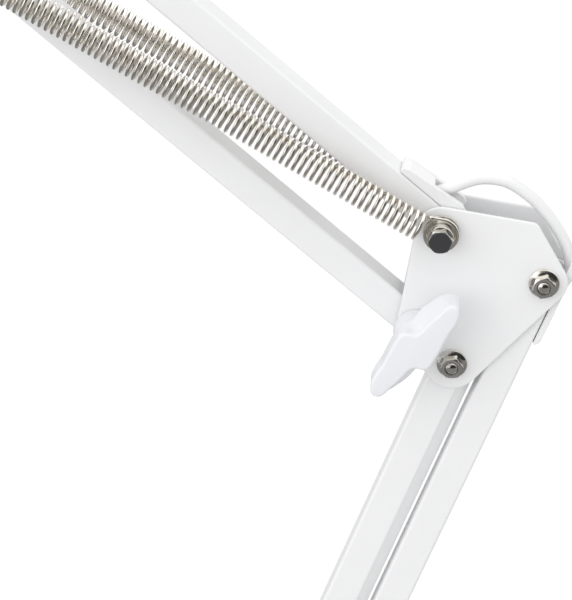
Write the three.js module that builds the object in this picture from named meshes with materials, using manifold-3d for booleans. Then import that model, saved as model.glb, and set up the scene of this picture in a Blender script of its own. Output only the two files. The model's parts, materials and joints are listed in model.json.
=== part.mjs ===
// Swing arm desk lamp with two spring-balanced parallelogram arms, a desk clamp and a mains lead.
// Millimetres, +Z up. The origin is on the swivel axis at the underside of the clamp's jaw pad,
// the arms swing in the XZ plane, the head hangs towards -X and the front of the lamp faces -Y.
import * as THREE from 'three';
import { mergeVertices } from 'three/addons/utils/BufferGeometryUtils.js';
import Module from 'manifold-3d';

const wasm = await Module();
wasm.setup();

// ---- Driving dimensions -------------------------------------------------------------------
const GAP = 0.3; // air left between pieces that touch
const DEG = Math.PI / 180;

// Square tubes of the arms
const TUBE = 12.6;
const WALL = 1.1;
const TUBE_CORNER = 1.2;
const ARM_LENGTH = 380; // pivot to pivot
const TUBE_OVERRUN = 5.5; // tube past the pivot at each end
const LOWER_ANGLE = 68.9 * DEG; // lower arm above +X, seen from the front
const UPPER_ANGLE = 139.8 * DEG; // upper arm above +X
const WEDGE = 4.4; // sloped rib along the lower inner tube

// Side plates of the base, the elbow and the head
const PLATE = 1.5;
const PLATE_CLEAR = 1.0; // between a tube and each plate
const PLATE_IN = TUBE / 2 + PLATE_CLEAR;
const PLATE_OUT = PLATE_IN + PLATE;

// Pivots in the XZ plane. The elbow's four are measured from pivot A.
const BASE_OUTER = [18, 94];
const ELBOW_B = [39, -19.5];
const ELBOW_C = [5.3, -54.5];
const ELBOW_D = [-8.2, -41.5];
const BOLT_R = 2.5;
const HOLE_R = BOLT_R + 0.4;
const NUT_R = 5.9; // flange of a pivot nut
const NUT_HEX_R = 4.1; // across corners / 2
const NUT_HEIGHT = 5.2;

// Balance springs
const SPRING_R = 5.8;
const SPRING_Y = 15.6; // spring axis to the lamp's centre plane
const UPPER_SPRING_AT = 215; // anchor pin along the upper bottom tube
const LOWER_SPRING_AT = 205; // anchor pin along the lower inner tube

// Clamp
const CLAMP_WIDTH = 40;
const JAW = { left: -48, spine: 26, right: 34, pad: 2, thick: 8, bottom: -70 };
const SCREW_X = -14;
const SCREW_R = 4.6;
const DESK_TOP_TO_PAD = 25; // the clamp's opening at rest

// Shade
const SHADE_TILT = 62 * DEG; // axis above -X, pointing back up to the cap
const SHADE_RIM_R = 80;
const SHADE_NECK_R = 24;
const SHADE_WALL = 1.0;

// Cord
const CORD_R = 2.5;

// ---- Colours ------------------------------------------------------------------------------
const finish = (color, roughness, metalness) =>
  () => new THREE.MeshStandardMaterial({ color, roughness, metalness });
const whitePaint = finish(0xeff1f2, 0.38, 0.0);
const whitePlastic = finish(0xf2f5fa, 0.32, 0.0);
const zinc = finish(0xb9b8b4, 0.3, 1.0);
const darkSteel = finish(0x55565a, 0.45, 1.0);
const springSteel = finish(0xa9a49b, 0.28, 1.0);
const rubber = finish(0x2c2d2f, 0.85, 0.0);
const whiteCord = finish(0xf0f1f3, 0.42, 0.0);
const frosted = finish(0xf6f3ea, 0.25, 0.0);

// ---- Geometry helpers ---------------------------------------------------------------------

/** Merges shared corners and drops triangles without area, so that a solid is one closed mesh. */
function closed(geometry) {
  const bare = geometry.clone();
  bare.deleteAttribute('normal');
  bare.deleteAttribute('uv');
  const merged = mergeVertices(bare, 1e-4);
  const corners = merged.index.array;
  const kept = [];
  for (let i = 0; i < corners.length; i += 3) {
    const [a, b, c] = [corners[i], corners[i + 1], corners[i + 2]];
    if (a !== b && b !== c && c !== a) kept.push(a, b, c);
  }
  merged.setIndex(kept);
  return merged;
}

/** A three.js geometry as a manifold solid. */
function toSolid(geometry) {
  const merged = closed(geometry);
  return new wasm.Manifold(new wasm.Mesh({
    numProp: 3,
    vertProperties: Float32Array.from(merged.attributes.position.array),
    triVerts: Uint32Array.from(merged.index.array),
  }));
}

/** A manifold solid as a three.js geometry. */
function toGeometry(solid) {
  const mesh = solid.getMesh();
  const geometry = new THREE.BufferGeometry();
  geometry.setAttribute('position', new THREE.BufferAttribute(mesh.vertProperties, 3));
  geometry.setIndex(new THREE.BufferAttribute(mesh.triVerts, 1));
  return geometry;
}

/** Joins the geometries in `bodies` and cuts those in `cuts` away. */
function combine(bodies, cuts = []) {
  let solid = toSolid(bodies[0]);
  for (const body of bodies.slice(1)) solid = solid.add(toSolid(body));
  for (const cut of cuts) solid = solid.subtract(toSolid(cut));
  return toGeometry(solid);
}

/** Extrudes a shape drawn in (y, z) from x0 to x1. */
function alongX(shape, x0, x1, curveSegments = 3) {
  const geometry = new THREE.ExtrudeGeometry(shape, { depth: x1 - x0, bevelEnabled: false, curveSegments });
  const turn = new THREE.Matrix4().makeBasis(
    new THREE.Vector3(0, 1, 0), new THREE.Vector3(0, 0, 1), new THREE.Vector3(1, 0, 0));
  return geometry.applyMatrix4(turn).translate(x0, 0, 0);
}

/** Extrudes a shape drawn in (x, z) from y0 to y1. */
function alongY(shape, y0, y1, curveSegments = 4) {
  const geometry = new THREE.ExtrudeGeometry(shape, { depth: y1 - y0, bevelEnabled: false, curveSegments });
  return geometry.rotateX(Math.PI / 2).translate(0, y1, 0);
}

/** Extrudes a shape drawn in (x, y) from z0 to z1. */
function alongZ(shape, z0, z1, curveSegments = 4) {
  return new THREE.ExtrudeGeometry(shape, { depth: z1 - z0, bevelEnabled: false, curveSegments })
    .translate(0, 0, z0);
}

/** A box given by its lowest and highest corner. */
function box(low, high) {
  const size = high.map((value, i) => value - low[i]);
  return new THREE.BoxGeometry(...size).translate(
    ...low.map((value, i) => value + size[i] / 2));
}

/** A cylinder along Y from y0 to y1 at (x, z). */
function rodY(x, z, radius, y0, y1, segments = 24) {
  return new THREE.CylinderGeometry(radius, radius, y1 - y0, segments)
    .translate(x, (y0 + y1) / 2, z);
}

/** A cylinder along Z from z0 to z1 at (x, y). */
function rodZ(x, y, radius, z0, z1, segments = 24) {
  return new THREE.CylinderGeometry(radius, radius, z1 - z0, segments)
    .rotateX(Math.PI / 2).translate(x, y, (z0 + z1) / 2);
}

/** Turns a profile of [radius, height] points around the Y axis, listed either way round. */
function latheY(profile, segments = 24) {
  const area = profile.reduce((sum, [r0, h0], i) => {
    const [r1, h1] = profile[(i + 1) % profile.length];
    return sum + r0 * h1 - r1 * h0;
  }, 0);
  const upwards = area > 0 ? profile : [...profile].reverse();
  return closed(new THREE.LatheGeometry(upwards.map(([r, h]) => new THREE.Vector2(r, h)), segments));
}

/** Turns a profile of [radius, height] points around the Z axis. */
function latheZ(profile, segments = 24) {
  return latheY(profile, segments).rotateX(Math.PI / 2);
}

/** Turns a profile of [radius, distance along X] points around the X axis. */
function latheX(profile, segments = 24) {
  return latheY(profile, segments).rotateZ(-Math.PI / 2);
}

/** A square with round corners, centred. */
function roundedSquare(width, radius) {
  return roundedRectangle(-width / 2, -width / 2, width / 2, width / 2, radius);
}

/** A rectangle with round corners. */
function roundedRectangle(x0, y0, x1, y1, r) {
  const shape = new THREE.Shape();
  shape.moveTo(x0 + r, y0);
  shape.lineTo(x1 - r, y0);
  shape.absarc(x1 - r, y0 + r, r, -Math.PI / 2, 0, false);
  shape.absarc(x1 - r, y1 - r, r, 0, Math.PI / 2, false);
  shape.absarc(x0 + r, y1 - r, r, Math.PI / 2, Math.PI, false);
  shape.absarc(x0 + r, y0 + r, r, Math.PI, 1.5 * Math.PI, false);
  return shape;
}

/** The outline of a band stretched round circles [x, y, radius], listed anticlockwise. */
function bandShape(circles) {
  const shape = new THREE.Shape();
  const count = circles.length;
  const exits = circles.map((circle, i) => {
    const [x0, y0, r0] = circle;
    const [x1, y1, r1] = circles[(i + 1) % count];
    const run = Math.atan2(y1 - y0, x1 - x0);
    const lean = Math.asin((r0 - r1) / Math.hypot(x1 - x0, y1 - y0));
    return run - Math.PI / 2 + lean;
  });
  circles.forEach(([x, y, r], i) => {
    const from = exits[(i + count - 1) % count];
    shape.absarc(x, y, r, from, exits[i], false);
  });
  shape.closePath();
  return shape;
}

/** A round hole for a shape. */
function punch(shape, x, y, radius) {
  const hole = new THREE.Path();
  hole.absarc(x, y, radius, 0, 2 * Math.PI, true);
  shape.holes.push(hole);
}

/** A tube of cord through 3D points, as a closed solid. */
function cordSolid(points, radius, sides, steps) {
  const section = new THREE.Shape();
  for (let i = 0; i < sides; i += 1) {
    const a = (2 * Math.PI * i) / sides;
    const [x, y] = [radius * Math.cos(a), radius * Math.sin(a)];
    if (i === 0) section.moveTo(x, y);
    else section.lineTo(x, y);
  }
  const path = new THREE.CatmullRomCurve3(points.map((p) => new THREE.Vector3(...p)), false, 'centripetal');
  return new THREE.ExtrudeGeometry(section, { steps, bevelEnabled: false, extrudePath: path });
}

/** A named mesh. */
function piece(name, geometry, material) {
  const mesh = new THREE.Mesh(geometry, material());
  mesh.name = name;
  return mesh;
}

/** A group placed at (x, z) whose +X points `angle` above the world's +X, seen from the front. */
function frameAt([x, z], angle, ...children) {
  const group = new THREE.Group();
  group.position.set(x, 0, z);
  group.rotation.y = -angle;
  group.add(...children);
  return group;
}

/** Adds two points of the XZ plane. */
const plus = ([x0, z0], [x1, z1]) => [x0 + x1, z0 + z1];
/** A point `distance` along `angle` from `from`. */
const along = (from, angle, distance) =>
  plus(from, [distance * Math.cos(angle), distance * Math.sin(angle)]);

// ---- Pivots worked out from the driving dimensions ----------------------------------------
const BASE_INNER = plus(BASE_OUTER, [ELBOW_C[0] - ELBOW_B[0], ELBOW_C[1] - ELBOW_B[1]]);
const ELBOW = plus(along(BASE_OUTER, LOWER_ANGLE, ARM_LENGTH), [-ELBOW_B[0], -ELBOW_B[1]]);
const HEAD = along(ELBOW, UPPER_ANGLE, ARM_LENGTH);
const HEAD_TILT = [-36, -28]; // shade pivot, from the head's upper pivot
const BASE_SPRING = [-20, 16]; // spring anchor, from the base's inner pivot

// ---- Fasteners, all along Y ---------------------------------------------------------------

/** A pan-head bolt through the plates, its head behind and its thread end in front of its nut. */
function pivotBolt(name, [x, z], reach = PLATE_OUT) {
  const head = reach + GAP;
  const profile = [
    [0, -(reach + NUT_HEIGHT + 1.6)], [1.6, -(reach + NUT_HEIGHT + 1.6)],
    [BOLT_R, -(reach + NUT_HEIGHT + 0.7)], [BOLT_R, head], [5.0, head], [5.0, head + 1.6],
    [3.6, head + 3.0], [0, head + 3.4],
  ];
  return piece(name, latheY(profile, 16).translate(x, 0, z), zinc);
}

/** A hexagon nut with a round flange, its bore clear of the bolt, facing -Y. */
function flangeNut(name, [x, z], reach = PLATE_OUT, flangeR = NUT_R) {
  const near = -(reach + GAP);
  const flange = latheY([[0, -1.5], [flangeR * 0.82, -1.5], [flangeR, -0.6], [flangeR, 0], [0, 0]], 20);
  const hex = new THREE.CylinderGeometry(NUT_HEX_R, NUT_HEX_R, NUT_HEIGHT - 0.8, 6)
    .translate(0, -0.8 - (NUT_HEIGHT - 0.8) / 2, 0);
  const bore = rodY(0, 0, HOLE_R, -NUT_HEIGHT - 1, 1, 16);
  return piece(name, combine([flange, hex], [bore]).translate(x, near, z), zinc);
}

/** A spool that spaces a spring's eye off a plate, on the front (-1) or the rear (+1). */
function springSpool(name, [x, z], side) {
  const [from, to] = [PLATE_OUT + GAP, SPRING_Y + 2.2];
  const profile = [
    [HOLE_R, from], [6.8, from], [6.8, from + 1.2], [3.3, from + 2.2], [3.3, to - 1.2],
    [5.2, to - 0.8], [5.2, to], [HOLE_R, to], [HOLE_R, from],
  ];
  const geometry = latheY(profile, 16);
  if (side < 0) geometry.rotateX(Math.PI);
  return piece(name, geometry.translate(x, 0, z), zinc);
}

/** A pin through a tube with a waist at each end for the springs' eyes. */
function springPin(name, x, z) {
  const end = SPRING_Y + 4;
  const waist = SPRING_Y;
  const half = [
    [BOLT_R, TUBE / 2 + 0.8], [4.4, TUBE / 2 + 0.8], [4.4, TUBE / 2 + 2.0], [BOLT_R, TUBE / 2 + 2.0],
    [BOLT_R, waist + 1.4], [3.8, waist + 2.0], [3.8, end], [0, end],
  ];
  const profile = [...half.map(([r, y]) => [r, -y]).reverse(), ...half];
  return piece(name, latheY(profile, 12).translate(x, 0, z), zinc);
}

/** A balance spring between two eyes, as its outer cylinder with a hook and an eye at each end. */
function springSolid(name, from, to, y) {
  const length = Math.hypot(to[0] - from[0], to[1] - from[1]);
  const [bodyFrom, bodyTo] = [13, length - 13];
  const wire = 1.4;
  const coil = new THREE.CylinderGeometry(SPRING_R, SPRING_R, bodyTo - bodyFrom, 14)
    .rotateZ(Math.PI / 2).translate((bodyFrom + bodyTo) / 2, 0, 0);
  const eyes = [0, length].map((x) => rodY(x, 0, 5.2, -wire / 2, wire / 2, 16));
  const holes = [0, length].map((x) => rodY(x, 0, 3.7, -wire, wire, 16));
  const links = [
    box([4.2, -wire / 2, -wire / 2], [bodyFrom + 2, wire / 2, wire / 2]),
    box([bodyTo - 2, -wire / 2, -wire / 2], [length - 4.2, wire / 2, wire / 2]),
  ];
  const geometry = combine([coil, ...eyes, ...links], holes);
  const angle = Math.atan2(to[1] - from[1], to[0] - from[0]);
  geometry.rotateY(-angle).translate(from[0], y, from[1]);
  return piece(name, geometry, springSteel);
}

/** A two-winged knob on its collar, screwed onto a stud that reaches through both plates. */
function wingKnob(name, [x, z], angle, scale) {
  const collarTo = 17.6;
  const collar = latheY([
    [0, -collarTo], [8.2 * scale, -collarTo], [10 * scale, -PLATE_OUT - 2], [10 * scale, -PLATE_OUT - GAP],
    [0, -PLATE_OUT - GAP],
  ]);
  const wings = bandShape([[-24, -1.5, 4.2], [-4, -7.2, 3.5], [23, -1, 5.6], [22, 3.5, 5], [-12, 6.5, 4]]
    .map((circle) => circle.map((value) => value * scale)));
  const stud = rodY(0, 0, BOLT_R, -PLATE_OUT - 2, PLATE_OUT + GAP + 3, 20);
  const geometry = combine([collar, alongY(wings, -collarTo - 11 * scale, -collarTo + 1, 5), stud]);
  return piece(name, geometry.rotateY(-angle).translate(x, 0, z), whitePlastic);
}

// ---- Arms ---------------------------------------------------------------------------------

/** A square tube along +X from pivot to pivot, with round holes along Y and slots in its -Z wall. */
function armTube(name, { pins = [], slots = [], wedge = false }) {
  const [from, to] = [-TUBE_OVERRUN, ARM_LENGTH + TUBE_OVERRUN];
  const bodies = [alongX(roundedSquare(TUBE, TUBE_CORNER), from, to)];
  if (wedge) bodies.push(alongX(wedgeSection(), 18, ARM_LENGTH - 18));
  const cuts = [alongX(roundedSquare(TUBE - 2 * WALL, 0.5), from - 1, to + 1, 1)];
  for (const x of [0, ...pins, ARM_LENGTH]) cuts.push(rodY(x, 0, HOLE_R, -TUBE, TUBE, 16));
  for (const [x0, x1] of slots) cuts.push(box([x0, -3.3, -TUBE], [x1, 3.3, -TUBE / 2 + WALL + 0.6]));
  return piece(name, combine(bodies, cuts), whitePaint);
}

/** The rib's section in (y, z): flush with the front, sloping back towards the rear. */
function wedgeSection() {
  const [front, side] = [-TUBE / 2, -TUBE / 2];
  const shape = new THREE.Shape();
  shape.moveTo(front + 1.0, side + WALL / 2);
  shape.lineTo(front + 1.0, side);
  shape.lineTo(front + 5.2, side - WEDGE);
  shape.lineTo(-front - 2.0, side - WEDGE);
  shape.lineTo(-front - 2.0, side + WALL / 2);
  shape.closePath();
  return shape;
}

/**
 * A cord guide on a tube's -Z face: two rims that rise towards its mouth, over a slot. `mouth` and
 * `tail` are places along the tube, and the slot is given the same way.
 */
function cordGuide(name, { mouth, tail, slot, rimMouth, rimTail }) {
  const seat = -TUBE / 2 - GAP;
  const [low, high] = [Math.min(mouth, tail), Math.max(mouth, tail)];
  const side = new THREE.Shape();
  const points = [[mouth, seat], [mouth, -rimMouth + 1], [mouth + (tail - mouth) * 0.08, -rimMouth],
    [tail - (tail - mouth) * 0.08, -rimTail], [tail, -rimTail + 1], [tail, seat]];
  if (mouth < tail) points.reverse();
  points.forEach(([x, z], i) => (i === 0 ? side.moveTo(x, z) : side.lineTo(x, z)));
  side.closePath();
  const body = alongY(side, -TUBE / 2, TUBE / 2);
  const wall = 2.2; // left across the tail
  const [troughLow, troughHigh] = mouth < tail ? [low - 1, high - wall] : [low + wall, high + 1];
  const trough = box([troughLow, -3.4, -20], [troughHigh, 3.4, seat - 1.2]);
  const well = box([slot[0], -3.1, -20], [slot[1], 3.1, 0]);
  return piece(name, combine([body], [trough, well]), whitePlastic);
}

// ---- Side plates --------------------------------------------------------------------------

/** A pair of side plates with one outline, punched at the pivots, front and rear. */
function platePair(prefix, at, circles, pivots) {
  return [['front', -PLATE_OUT], ['rear', PLATE_IN]].map(([side, y]) => {
    const shape = bandShape(circles);
    pivots.forEach(([x, z]) => punch(shape, x, z, HOLE_R));
    const geometry = alongY(shape, y, y + PLATE, 5).translate(at[0], 0, at[1]);
    return piece(`${prefix}_plate_${side}`, geometry, whitePaint);
  });
}

// ---- Clamp --------------------------------------------------------------------------------

/** The C-shaped frame that grips the desk's edge, with a threaded boss in its lower arm. */
function clampFrame() {
  const { left, spine, right, pad, thick, bottom } = JAW;
  const [low, top] = [pad + GAP, pad + GAP + thick];
  const shape = new THREE.Shape();
  shape.moveTo(left, low);
  shape.lineTo(spine - 4, low);
  shape.absarc(spine - 4, low - 4, 4, Math.PI / 2, 0, true);
  shape.lineTo(spine, bottom + thick + 4);
  shape.absarc(spine - 4, bottom + thick + 4, 4, 0, -Math.PI / 2, true);
  shape.lineTo(SCREW_X - 16, bottom + thick);
  shape.lineTo(SCREW_X - 16, bottom);
  shape.lineTo(right - 9, bottom);
  shape.absarc(right - 9, bottom + 9, 9, -Math.PI / 2, 0, false);
  shape.lineTo(right, top - 9);
  shape.absarc(right - 9, top - 9, 9, 0, Math.PI / 2, false);
  shape.lineTo(left, top);
  shape.closePath();
  const frame = alongY(shape, -CLAMP_WIDTH / 2, CLAMP_WIDTH / 2, 5);
  const boss = rodZ(SCREW_X, 0, 11, bottom - 4, bottom + thick + 6);
  const thread = rodZ(SCREW_X, 0, SCREW_R + GAP + 0.1, bottom - 10, bottom + thick + 10);
  return piece('clamp_frame', combine([frame, boss], [thread]), whitePaint);
}

/** Everything that the desk holds. */
function clampPieces() {
  const { left, spine, pad, thick } = JAW;
  const padShape = roundedRectangle(left, -CLAMP_WIDTH / 2, spine - 5, CLAMP_WIDTH / 2, 4);
  const seat = pad + GAP + thick + GAP;
  const bush = latheZ([
    [6.3, seat], [17, seat], [17, seat + 3], [15.5, seat + 4.5], [11.5, seat + 6], [11, seat + 8],
    [11, seat + 24], [10, seat + 25], [6.3, seat + 25], [6.3, seat],
  ]);
  return [
    piece('clamp_jaw_pad', alongZ(padShape, 0, pad), rubber),
    clampFrame(),
    piece('socket_bush', bush, zinc),
  ];
}

/** The screw, the disc on its tip and the lobed handle under it. */
function clampScrewPieces() {
  const padTop = -DESK_TOP_TO_PAD;
  const tip = padTop - 6;
  const handleTop = -94;
  const disc = latheZ([
    [0, padTop], [14, padTop], [15, padTop - 1], [15, padTop - 3], [9, padTop - 4.5], [7, tip + GAP],
    [0, tip + GAP],
  ]);
  const screw = latheZ([
    [0, tip], [3.4, tip], [SCREW_R, tip - 1.4], [SCREW_R, handleTop - 9], [0, handleTop - 9],
  ], 20);
  const lobes = new THREE.Shape();
  const count = 5;
  for (let i = 0; i < count; i += 1) {
    const middle = (2 * Math.PI * i) / count;
    lobes.absarc(13 * Math.cos(middle), 13 * Math.sin(middle), 7, middle - 1.15, middle + 1.15, false);
  }
  lobes.closePath();
  const grip = alongZ(lobes, handleTop - 14, handleTop - 1.5, 3);
  const hub = rodZ(0, 0, 9, handleTop - 3, handleTop);
  const socket = rodZ(0, 0, SCREW_R + GAP, handleTop - 9.3, handleTop + 1, 20);
  return [
    piece('clamp_swivel_pad', disc.translate(SCREW_X, 0, 0), zinc),
    piece('clamp_screw', screw.translate(SCREW_X, 0, 0), darkSteel),
    piece('clamp_handle', combine([grip, hub], [socket]).translate(SCREW_X, 0, 0), whitePlastic),
  ];
}

// ---- Base bracket -------------------------------------------------------------------------

/** The turning bracket on its post, with the lower arm's pivots and the lead's clip. */
function basePieces() {
  const blockY = PLATE_IN - GAP;
  const [blockLow, blockRight, clipX] = [37, 17, 23.5];
  const block = new THREE.Shape();
  block.moveTo(-13, blockLow);
  block.lineTo(blockRight, blockLow);
  block.lineTo(blockRight, 64);
  block.lineTo(6, 64);
  block.lineTo(6, 47);
  block.lineTo(-13, 47);
  block.closePath();
  const post = latheZ([[0, 12], [4.8, 12], [6, 13.2], [6, blockLow - GAP], [0, blockLow - GAP]], 24);
  const anchor = plus(BASE_INNER, BASE_SPRING);
  const circles = [[-9, 42, 5], [15, 42, 5], [...BASE_OUTER, 10], [...anchor, 6.5]];
  const clip = roundedRectangle(blockRight + GAP, 41, clipX + 5.5, 49, 2);
  const clipHole = rodZ(clipX, 0, CORD_R + GAP, 30, 60, 16);
  return [
    piece('swivel_post', post, zinc),
    piece('post_block', alongY(block, -blockY, blockY), darkSteel),
    ...platePair('base', [0, 0], circles, [BASE_OUTER, BASE_INNER, anchor]),
    pivotBolt('base_bolt_outer', BASE_OUTER),
    pivotBolt('base_bolt_inner', BASE_INNER),
    springAnchor('base_spring_pin', anchor),
    piece('cord_clip', combine([alongY(clip, -5.5, 5.5)], [clipHole]), whitePlastic),
    springSolid('spring_lower_front', anchor, lowerSpringEnd(), -SPRING_Y),
    springSolid('spring_lower_rear', anchor, lowerSpringEnd(), SPRING_Y),
  ];
}

/** The pin through the base plates that holds the lower springs' eyes. */
function springAnchor(name, [x, z]) {
  const half = [[BOLT_R, SPRING_Y + 1.4], [4.2, SPRING_Y + 2.0], [4.2, SPRING_Y + 4], [0, SPRING_Y + 4]];
  const profile = [...half.map(([r, y]) => [r, -y]).reverse(), ...half];
  return piece(name, latheY(profile, 12).translate(x, 0, z), zinc);
}

/** Where the lower springs end on the inner tube. */
function lowerSpringEnd() {
  return along(BASE_INNER, LOWER_ANGLE, LOWER_SPRING_AT);
}

// ---- Arms in place ------------------------------------------------------------------------

const GUIDE_BY_ELBOW = { mouth: -2, tail: 26.5, slot: [4, 21], rimMouth: 11.9, rimTail: 9.4 };

/** A guide given from the tube's far end instead of its near one. */
function fromFarEnd({ mouth, tail, slot, rimMouth, rimTail }) {
  const flip = (x) => ARM_LENGTH - x;
  return { mouth: flip(mouth), tail: flip(tail), slot: slot.map(flip).reverse(), rimMouth, rimTail };
}

/** The slot that a guide needs in the tube's wall, a little longer than its own. */
const wallSlot = ({ slot }) => [slot[0] - 1, slot[1] + 3];

function lowerArm() {
  const byBase = GUIDE_BY_ELBOW;
  const byElbow = fromFarEnd({ mouth: -10, tail: 26, slot: [-11, 22], rimMouth: 9.2, rimTail: 8.8 });
  return [
    frameAt(BASE_OUTER, LOWER_ANGLE,
      armTube('lower_outer_tube', { slots: [wallSlot(byBase), wallSlot(byElbow)] }),
      cordGuide('guide_base', byBase),
      cordGuide('guide_elbow_lower', byElbow)),
    frameAt(BASE_INNER, LOWER_ANGLE,
      armTube('lower_inner_tube', { pins: [LOWER_SPRING_AT], wedge: true }),
      springPin('spring_pin_lower', LOWER_SPRING_AT, 0)),
  ];
}

function upperArm() {
  const byElbow = GUIDE_BY_ELBOW;
  const byHead = fromFarEnd(GUIDE_BY_ELBOW);
  return [
    frameAt(ELBOW, UPPER_ANGLE,
      armTube('upper_top_tube', { slots: [wallSlot(byElbow), wallSlot(byHead)] }),
      cordGuide('guide_elbow_upper', byElbow),
      cordGuide('guide_head', byHead)),
    frameAt(plus(ELBOW, ELBOW_D), UPPER_ANGLE,
      armTube('upper_bottom_tube', { pins: [UPPER_SPRING_AT] }),
      springPin('spring_pin_upper', UPPER_SPRING_AT, 0)),
  ];
}

// ---- Elbow --------------------------------------------------------------------------------

const PIVOT_OUTLINE = { a: 9.5, b: 9, c: 10.8, d: 8.4 }; // plate radius round each pivot

function elbowPieces() {
  const { a, b, c, d } = PIVOT_OUTLINE;
  const circles = [[...ELBOW_D, d], [...ELBOW_C, c], [...ELBOW_B, b], [33.5, 1.2, 3.5], [0, 0, a]];
  const at = (offset) => plus(ELBOW, offset);
  const springEnd = along(at(ELBOW_D), UPPER_ANGLE, UPPER_SPRING_AT);
  const spoolReach = SPRING_Y + 2.2;
  return [
    ...platePair('elbow', ELBOW, circles, [[0, 0], ELBOW_B, ELBOW_C, ELBOW_D]),
    pivotBolt('elbow_bolt_a', ELBOW, spoolReach),
    pivotBolt('elbow_bolt_b', at(ELBOW_B)),
    pivotBolt('elbow_bolt_c', at(ELBOW_C)),
    flangeNut('elbow_nut_a', ELBOW, spoolReach, 6.9),
    flangeNut('elbow_nut_b', at(ELBOW_B)),
    flangeNut('elbow_nut_c', at(ELBOW_C)),
    springSpool('spring_spool_front', ELBOW, -1),
    springSpool('spring_spool_rear', ELBOW, 1),
    springSolid('spring_upper_front', ELBOW, springEnd, -SPRING_Y),
    springSolid('spring_upper_rear', ELBOW, springEnd, SPRING_Y),
    wingKnob('elbow_knob', at(ELBOW_D), 236 * DEG, 1),
  ];
}

// ---- Head ---------------------------------------------------------------------------------

const SHADE_AXIS = 42; // shade axis to the tilt pivot
const HOUSING_R = 24;
const HOUSING_LOW = -35.7; // housing's open end, along the shade axis from the pivot
const SHADE_TOP = HOUSING_LOW - GAP;
const BUTTON_AT = -6;

/** The bell-shaped shade, a thin wall with a rolled rim, hanging from the housing. */
function shadeGeometry() {
  const outer = [[SHADE_NECK_R + 2, 0], [SHADE_NECK_R + 4, -2], [44, -16], [60, -46], [72, -76],
    [SHADE_RIM_R - 1.2, -102], [SHADE_RIM_R, -104.5], [SHADE_RIM_R - 1, -105.6]];
  const inner = outer.slice(0, 6).map(([r, h]) => [r - SHADE_WALL, h - SHADE_WALL * 0.7]).reverse();
  const hole = 18.3;
  const profile = [[hole, 0], ...outer, ...inner, [hole, -1.2], [hole, 0]];
  return latheX(profile.map(([r, h]) => [r, h + SHADE_TOP]), 36);
}

/** The lamp's head on its tilt pivot; +X runs up the shade's axis. */
function headPieces() {
  const cap = latheX([
    [0, 26], [10, 25.4], [18, 23.5], [23, 19], [HOUSING_R, 15], [HOUSING_R, HOUSING_LOW],
    [HOUSING_R - 2, HOUSING_LOW], [HOUSING_R - 2, 14], [20, 17.5], [14, 20.5], [0, 21.5],
  ]);
  const cordHole = rodX(4.3, 15, 30);
  const buttonHole = rodZ(BUTTON_AT, 0, 5.4, 10, 40, 20);
  const socket = latheX([[0, 12], [15.5, 12], [17, 10], [17, -60], [13.6, -60], [13.6, -30], [0, -30]]);
  const bulb = latheX([
    [0, -31], [5, -31], [8, -34], [13.1, -36], [13.1, -58.3], [13.5, -66], [20, -80], [28, -92], [30, -102], [27, -115], [18, -125],
    [8, -129.3], [0, -130],
  ]);
  const relief = latheX([
    [2.8, 20], [4, 20], [4, 26.4], [6.5, 26.4], [6.5, 30], [3.6, 55], [2.8, 55], [2.8, 20],
  ], 20);
  const onAxis = [
    ['shade', shadeGeometry(), whitePaint],
    ['lamp_housing', combine([cap], [cordHole, buttonHole]), whitePlastic],
    ['lamp_socket', socket, whitePlastic],
    ['bulb', bulb, frosted],
    ['cord_relief', relief, whitePlastic],
    ['switch_button', rodZ(BUTTON_AT, 0, 5, 19, 28.5, 20), rubber],
  ].map(([name, geometry, material]) => piece(name, geometry.translate(0, 0, SHADE_AXIS), material));
  return [...onAxis, shadeLug()];
}

/** A cylinder along X. */
function rodX(radius, x0, x1, segments = 20) {
  return new THREE.CylinderGeometry(radius, radius, x1 - x0, segments)
    .rotateZ(Math.PI / 2).translate((x0 + x1) / 2, 0, 0);
}

/** The lug between the tilt pivot and the housing, hollowed to the housing's side. */
function shadeLug() {
  const web = alongY(bandShape([[-14, 22, 8], [0, 0, 9], [10, 22, 8]]), -6, 6);
  const housing = rodX(HOUSING_R + 0.5, -60, 60, 36).translate(0, 0, SHADE_AXIS);
  return piece('shade_lug', combine([web], [housing, rodY(0, 0, HOLE_R, -10, 10)]), whitePaint);
}

function headBracket() {
  const at = (offset) => plus(HEAD, offset);
  const circles = [[...ELBOW_D, PIVOT_OUTLINE.d], [0, 0, PIVOT_OUTLINE.a], [...HEAD_TILT, 11]];
  return [
    ...platePair('head', HEAD, circles, [[0, 0], ELBOW_D, HEAD_TILT]),
    pivotBolt('head_bolt_a', HEAD),
    pivotBolt('head_bolt_d', at(ELBOW_D)),
    wingKnob('head_knob', at(HEAD_TILT), 200 * DEG, 0.75),
  ];
}

// ---- Lead ---------------------------------------------------------------------------------

/** Points given in an arm's frame as [along, outwards], as world points in the XZ plane. */
function onArm(origin, angle, points) {
  const out = angle - Math.PI / 2;
  return points.map(([s, n]) => {
    const [x, z] = along(along(origin, angle, s), out, n);
    return [x, 0, z];
  });
}

/** The lead inside a tube, from one guide's slot to the other's. */
function innerRun(origin, angle, start, end) {
  const middle = [[60, 0], [190, 0], [320, 0]];
  return onArm(origin, angle, [...start, ...middle, ...end]);
}

const INTO_SLOT = [[9.1, 9.1], [12, 5.2], [18, 1.8], [28, 0.4], [42, 0]];
const flipped = (points) => points.map(([s, n]) => [ARM_LENGTH - s, n]).reverse();

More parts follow.
